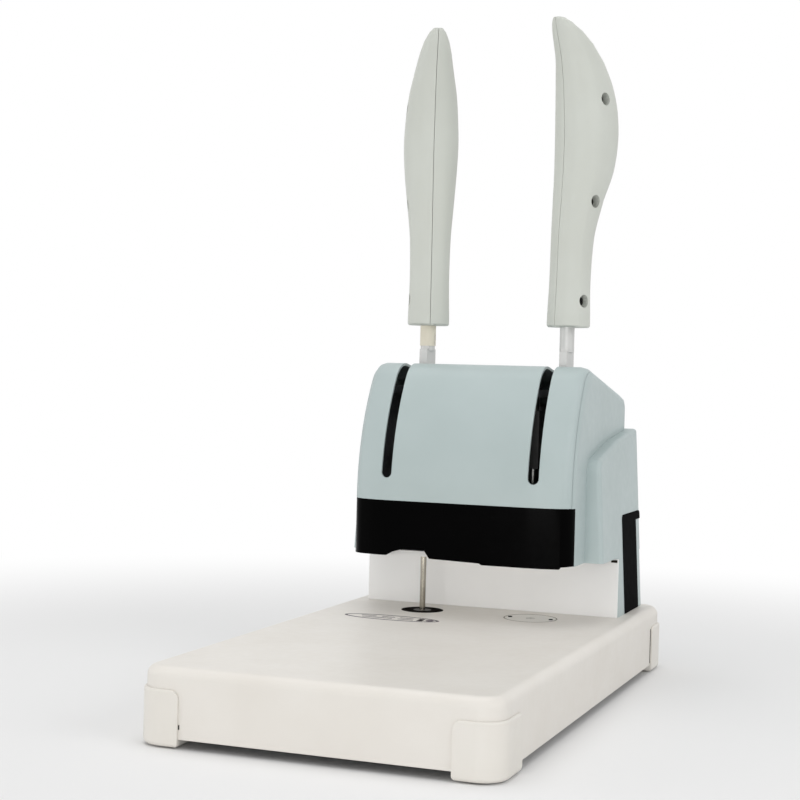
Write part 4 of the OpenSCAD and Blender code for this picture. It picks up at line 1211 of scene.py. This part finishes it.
@dataclass
class BareNodes:
    """The CAD nodes' own meshes, which only take a finish."""

    # The cutting pad is dressed in painted shade with painted glints.
    seen: dict[str, Finish] = field(
        default_factory=lambda: {"lower_plate": FINISHES["fence_white"], "cutting_pad": PAD_PAINTED_SHADE_AND_GLINTS}
    )

    def build(self) -> None:
        """Dresses every CAD node in the finish of its slot, or in the one that the photo shows."""
        for name, node in frame["nodes"].items():
            finish = self.seen.get(name, FINISHES[slot_of(name)])
            dress(node, finish)
            log.info("%s: dressed in %s", name, finish.slot)


# ---- the studio


@dataclass(frozen=True)
class Lamp:
    """A soft lamp: its middle, its width and height, its power in watts and what it faces."""

    name: str
    place: Point
    size: Span
    power: float
    aim: Point = (0.0, 0.05, 0.2)

    def hang(self) -> None:
        """Hangs the lamp, out of the camera's sight, and turns it to what it faces."""
        bpy.ops.object.light_add(type="AREA", location=self.place)
        lamp = bpy.context.object
        lamp.name = lamp.data.name = self.name
        lamp.data.shape = "RECTANGLE"
        lamp.data.size, lamp.data.size_y = self.size
        lamp.data.energy = self.power
        lamp.visible_camera = False
        lamp.rotation_euler = (Vector(self.aim) - Vector(self.place)).to_track_quat("-Z", "Y").to_euler()


@dataclass
class Studio:
    """The floor, the soft lamps and the camera at the photograph's viewing angle.

    The floor keeps the object's shadow up to the near distance and is white past the far one. The
    camera's lens and sensor are in millimetres, and its roll is in degrees.
    """

    floor_half: float = 12.0
    floor_colour: Colour = (0.93, 0.93, 0.93)
    floor_roughness: float = 0.8
    floor_gloss: float = 0.1
    shadow: Span = (0.45, 1.1)
    ambient: float = 0.58
    eye: Point = (0.444963, -1.276433, 0.269304)
    aim: Point = (-0.0325, -0.01353, 0.24718)
    roll: float = 1.46
    focal: float = 73.608
    sensor: float = 36.0
    sight: Span = (0.01, 50.0)
    lamps: tuple[Lamp, ...] = (
        Lamp("front_lamp", (0.35, -2.4, 0.15), (1.8, 0.3), 13.5),
        Lamp("right_lamp", (2.1, -0.6, 1.2), (1.6, 0.9), 10.5),
        Lamp("left_lamp", (-2.1, -0.8, 0.5), (1.6, 0.9), 6.0),
        Lamp("under_lamp", (0.0, 0.058, 0.103), (0.20, 0.02), 0.009, (0.0, 0.11, 0.06)),
        Lamp("top_lamp", (-0.2, 0.0, 2.4), (2.0, 2.0), 20.5),
    )

    def build(self) -> None:
        """Sets up the camera, the floor, the world and the lamps."""
        self._camera()
        self._floor()
        self._world()
        for lamp in self.lamps:
            lamp.hang()

    def _camera(self) -> None:
        """Makes the camera from its solved place, aim and roll."""
        bpy.ops.object.camera_add(location=self.eye)
        camera = bpy.context.object
        camera.name = "photo_camera"
        forward = (Vector(self.aim) - Vector(self.eye)).normalized()
        right = forward.cross(Vector((0, 0, 1))).normalized()
        up = right.cross(forward)
        turn = math.radians(self.roll)
        across = math.cos(turn) * right + math.sin(turn) * up
        upward = -math.sin(turn) * right + math.cos(turn) * up
        basis = Matrix((across, upward, -forward)).transposed().to_4x4()
        camera.matrix_world = Matrix.Translation(self.eye) @ basis
        camera.data.sensor_width = self.sensor
        camera.data.lens = self.focal
        camera.data.clip_start, camera.data.clip_end = self.sight
        bpy.context.scene.camera = camera

    def _floor(self) -> None:
        """Lays the pale floor, which keeps the object's shadow and runs out into white."""
        clear()
        bpy.ops.mesh.primitive_plane_add(size=2.0 * self.floor_half)
        floor = settle(name_it("studio_floor"))
        material = bpy.data.materials.new("studio_floor")
        material.use_nodes = True
        nodes = Wiring(material.node_tree)
        shader = nodes.tree.nodes["Principled BSDF"]
        shader.inputs["Base Color"].default_value = linear(self.floor_colour)
        shader.inputs["Roughness"].default_value = self.floor_roughness
        shader.inputs["Specular IOR Level"].default_value = self.floor_gloss
        away = nodes.add("VectorMath")
        away.operation = "LENGTH"
        nodes.link(nodes.add("TexCoord").outputs["Object"], away.inputs[0])
        far = nodes.span(away.outputs["Value"], self.shadow, eased=True)
        mix = nodes.add("MixShader")
        nodes.link(nodes.work("MULTIPLY", far, self._seen(nodes)), mix.inputs[0])
        nodes.link(shader.outputs[0], mix.inputs[1])
        nodes.link(nodes.add("Emission").outputs[0], mix.inputs[2])
        nodes.link(mix.outputs[0], nodes.tree.nodes["Material Output"].inputs["Surface"])
        floor.data.materials.append(material)

    def _world(self) -> None:
        """Surrounds the object with even light, seen as white by the camera and in gloss."""
        world = bpy.data.worlds.new("studio_world")
        bpy.context.scene.world = world
        world.use_nodes = True
        nodes = Wiring(world.node_tree)
        background = nodes.tree.nodes["Background"]
        background.inputs["Color"].default_value = (1.0, 1.0, 1.0, 1.0)
        strength = nodes.span(self._seen(nodes), (0.0, 1.0), (self.ambient, 1.0))
        nodes.link(strength, background.inputs["Strength"])

    @staticmethod
    def _seen(nodes: Wiring) -> Socket:
        """Tells what is seen from what only lights the object.

        Args:
            nodes: The nodes of the floor or the world.

        Returns:
            One for the camera, in gloss and through glass, and zero for all other light.
        """
        path = nodes.add("LightPath")
        value = path.outputs["Is Camera Ray"]
        for name in ("Is Glossy Ray", "Is Transmission Ray"):
            value = nodes.work("MAXIMUM", value, path.outputs[name])
        return value


def main() -> None:
    """Builds the studio and then every sub-assembly of the machine, in order."""
    logging.basicConfig(level=logging.INFO, format="%(name)s: %(message)s")
    bpy.context.scene.view_settings.view_transform = "Standard"
    Studio().build()
    BareNodes().build()
    Mouldings().build()
    Handles().build()
    Collar("drill_lever", -LEVER_X, middle=0.2934).build()
    Collar("press_lever", LEVER_X, middle=0.2944).build()
    small_head = CrossHead(radius=0.0019, height=0.0012)
    # The die plate's screw heads are black: painted shade for the shadowed holes that they sit in.
    ScrewSet(
        "die_plate_screws", Facing.UP, small_head, shank=0.0015, proud=0.001, finish="panel_black"
    ).build()
    ScrewSet("rear_panel_screws", Facing.BACK, CrossHead(radius=0.0032, height=0.0018), 0.0017).build()
    ScrewSet("base_screws", Facing.DOWN, CrossHead(radius=0.003, height=0.0018), 0.0015).build()
    TablePrint().build()
    Gaps().build()
    ReturnSpring("drill_spring_wire", "drill_spring", "drill_feed", x=-0.033).build()
    ReturnSpring("press_spring_wire", "press_spring", "press_feed", x=0.033).build()


if __name__ == "__main__":
    main()
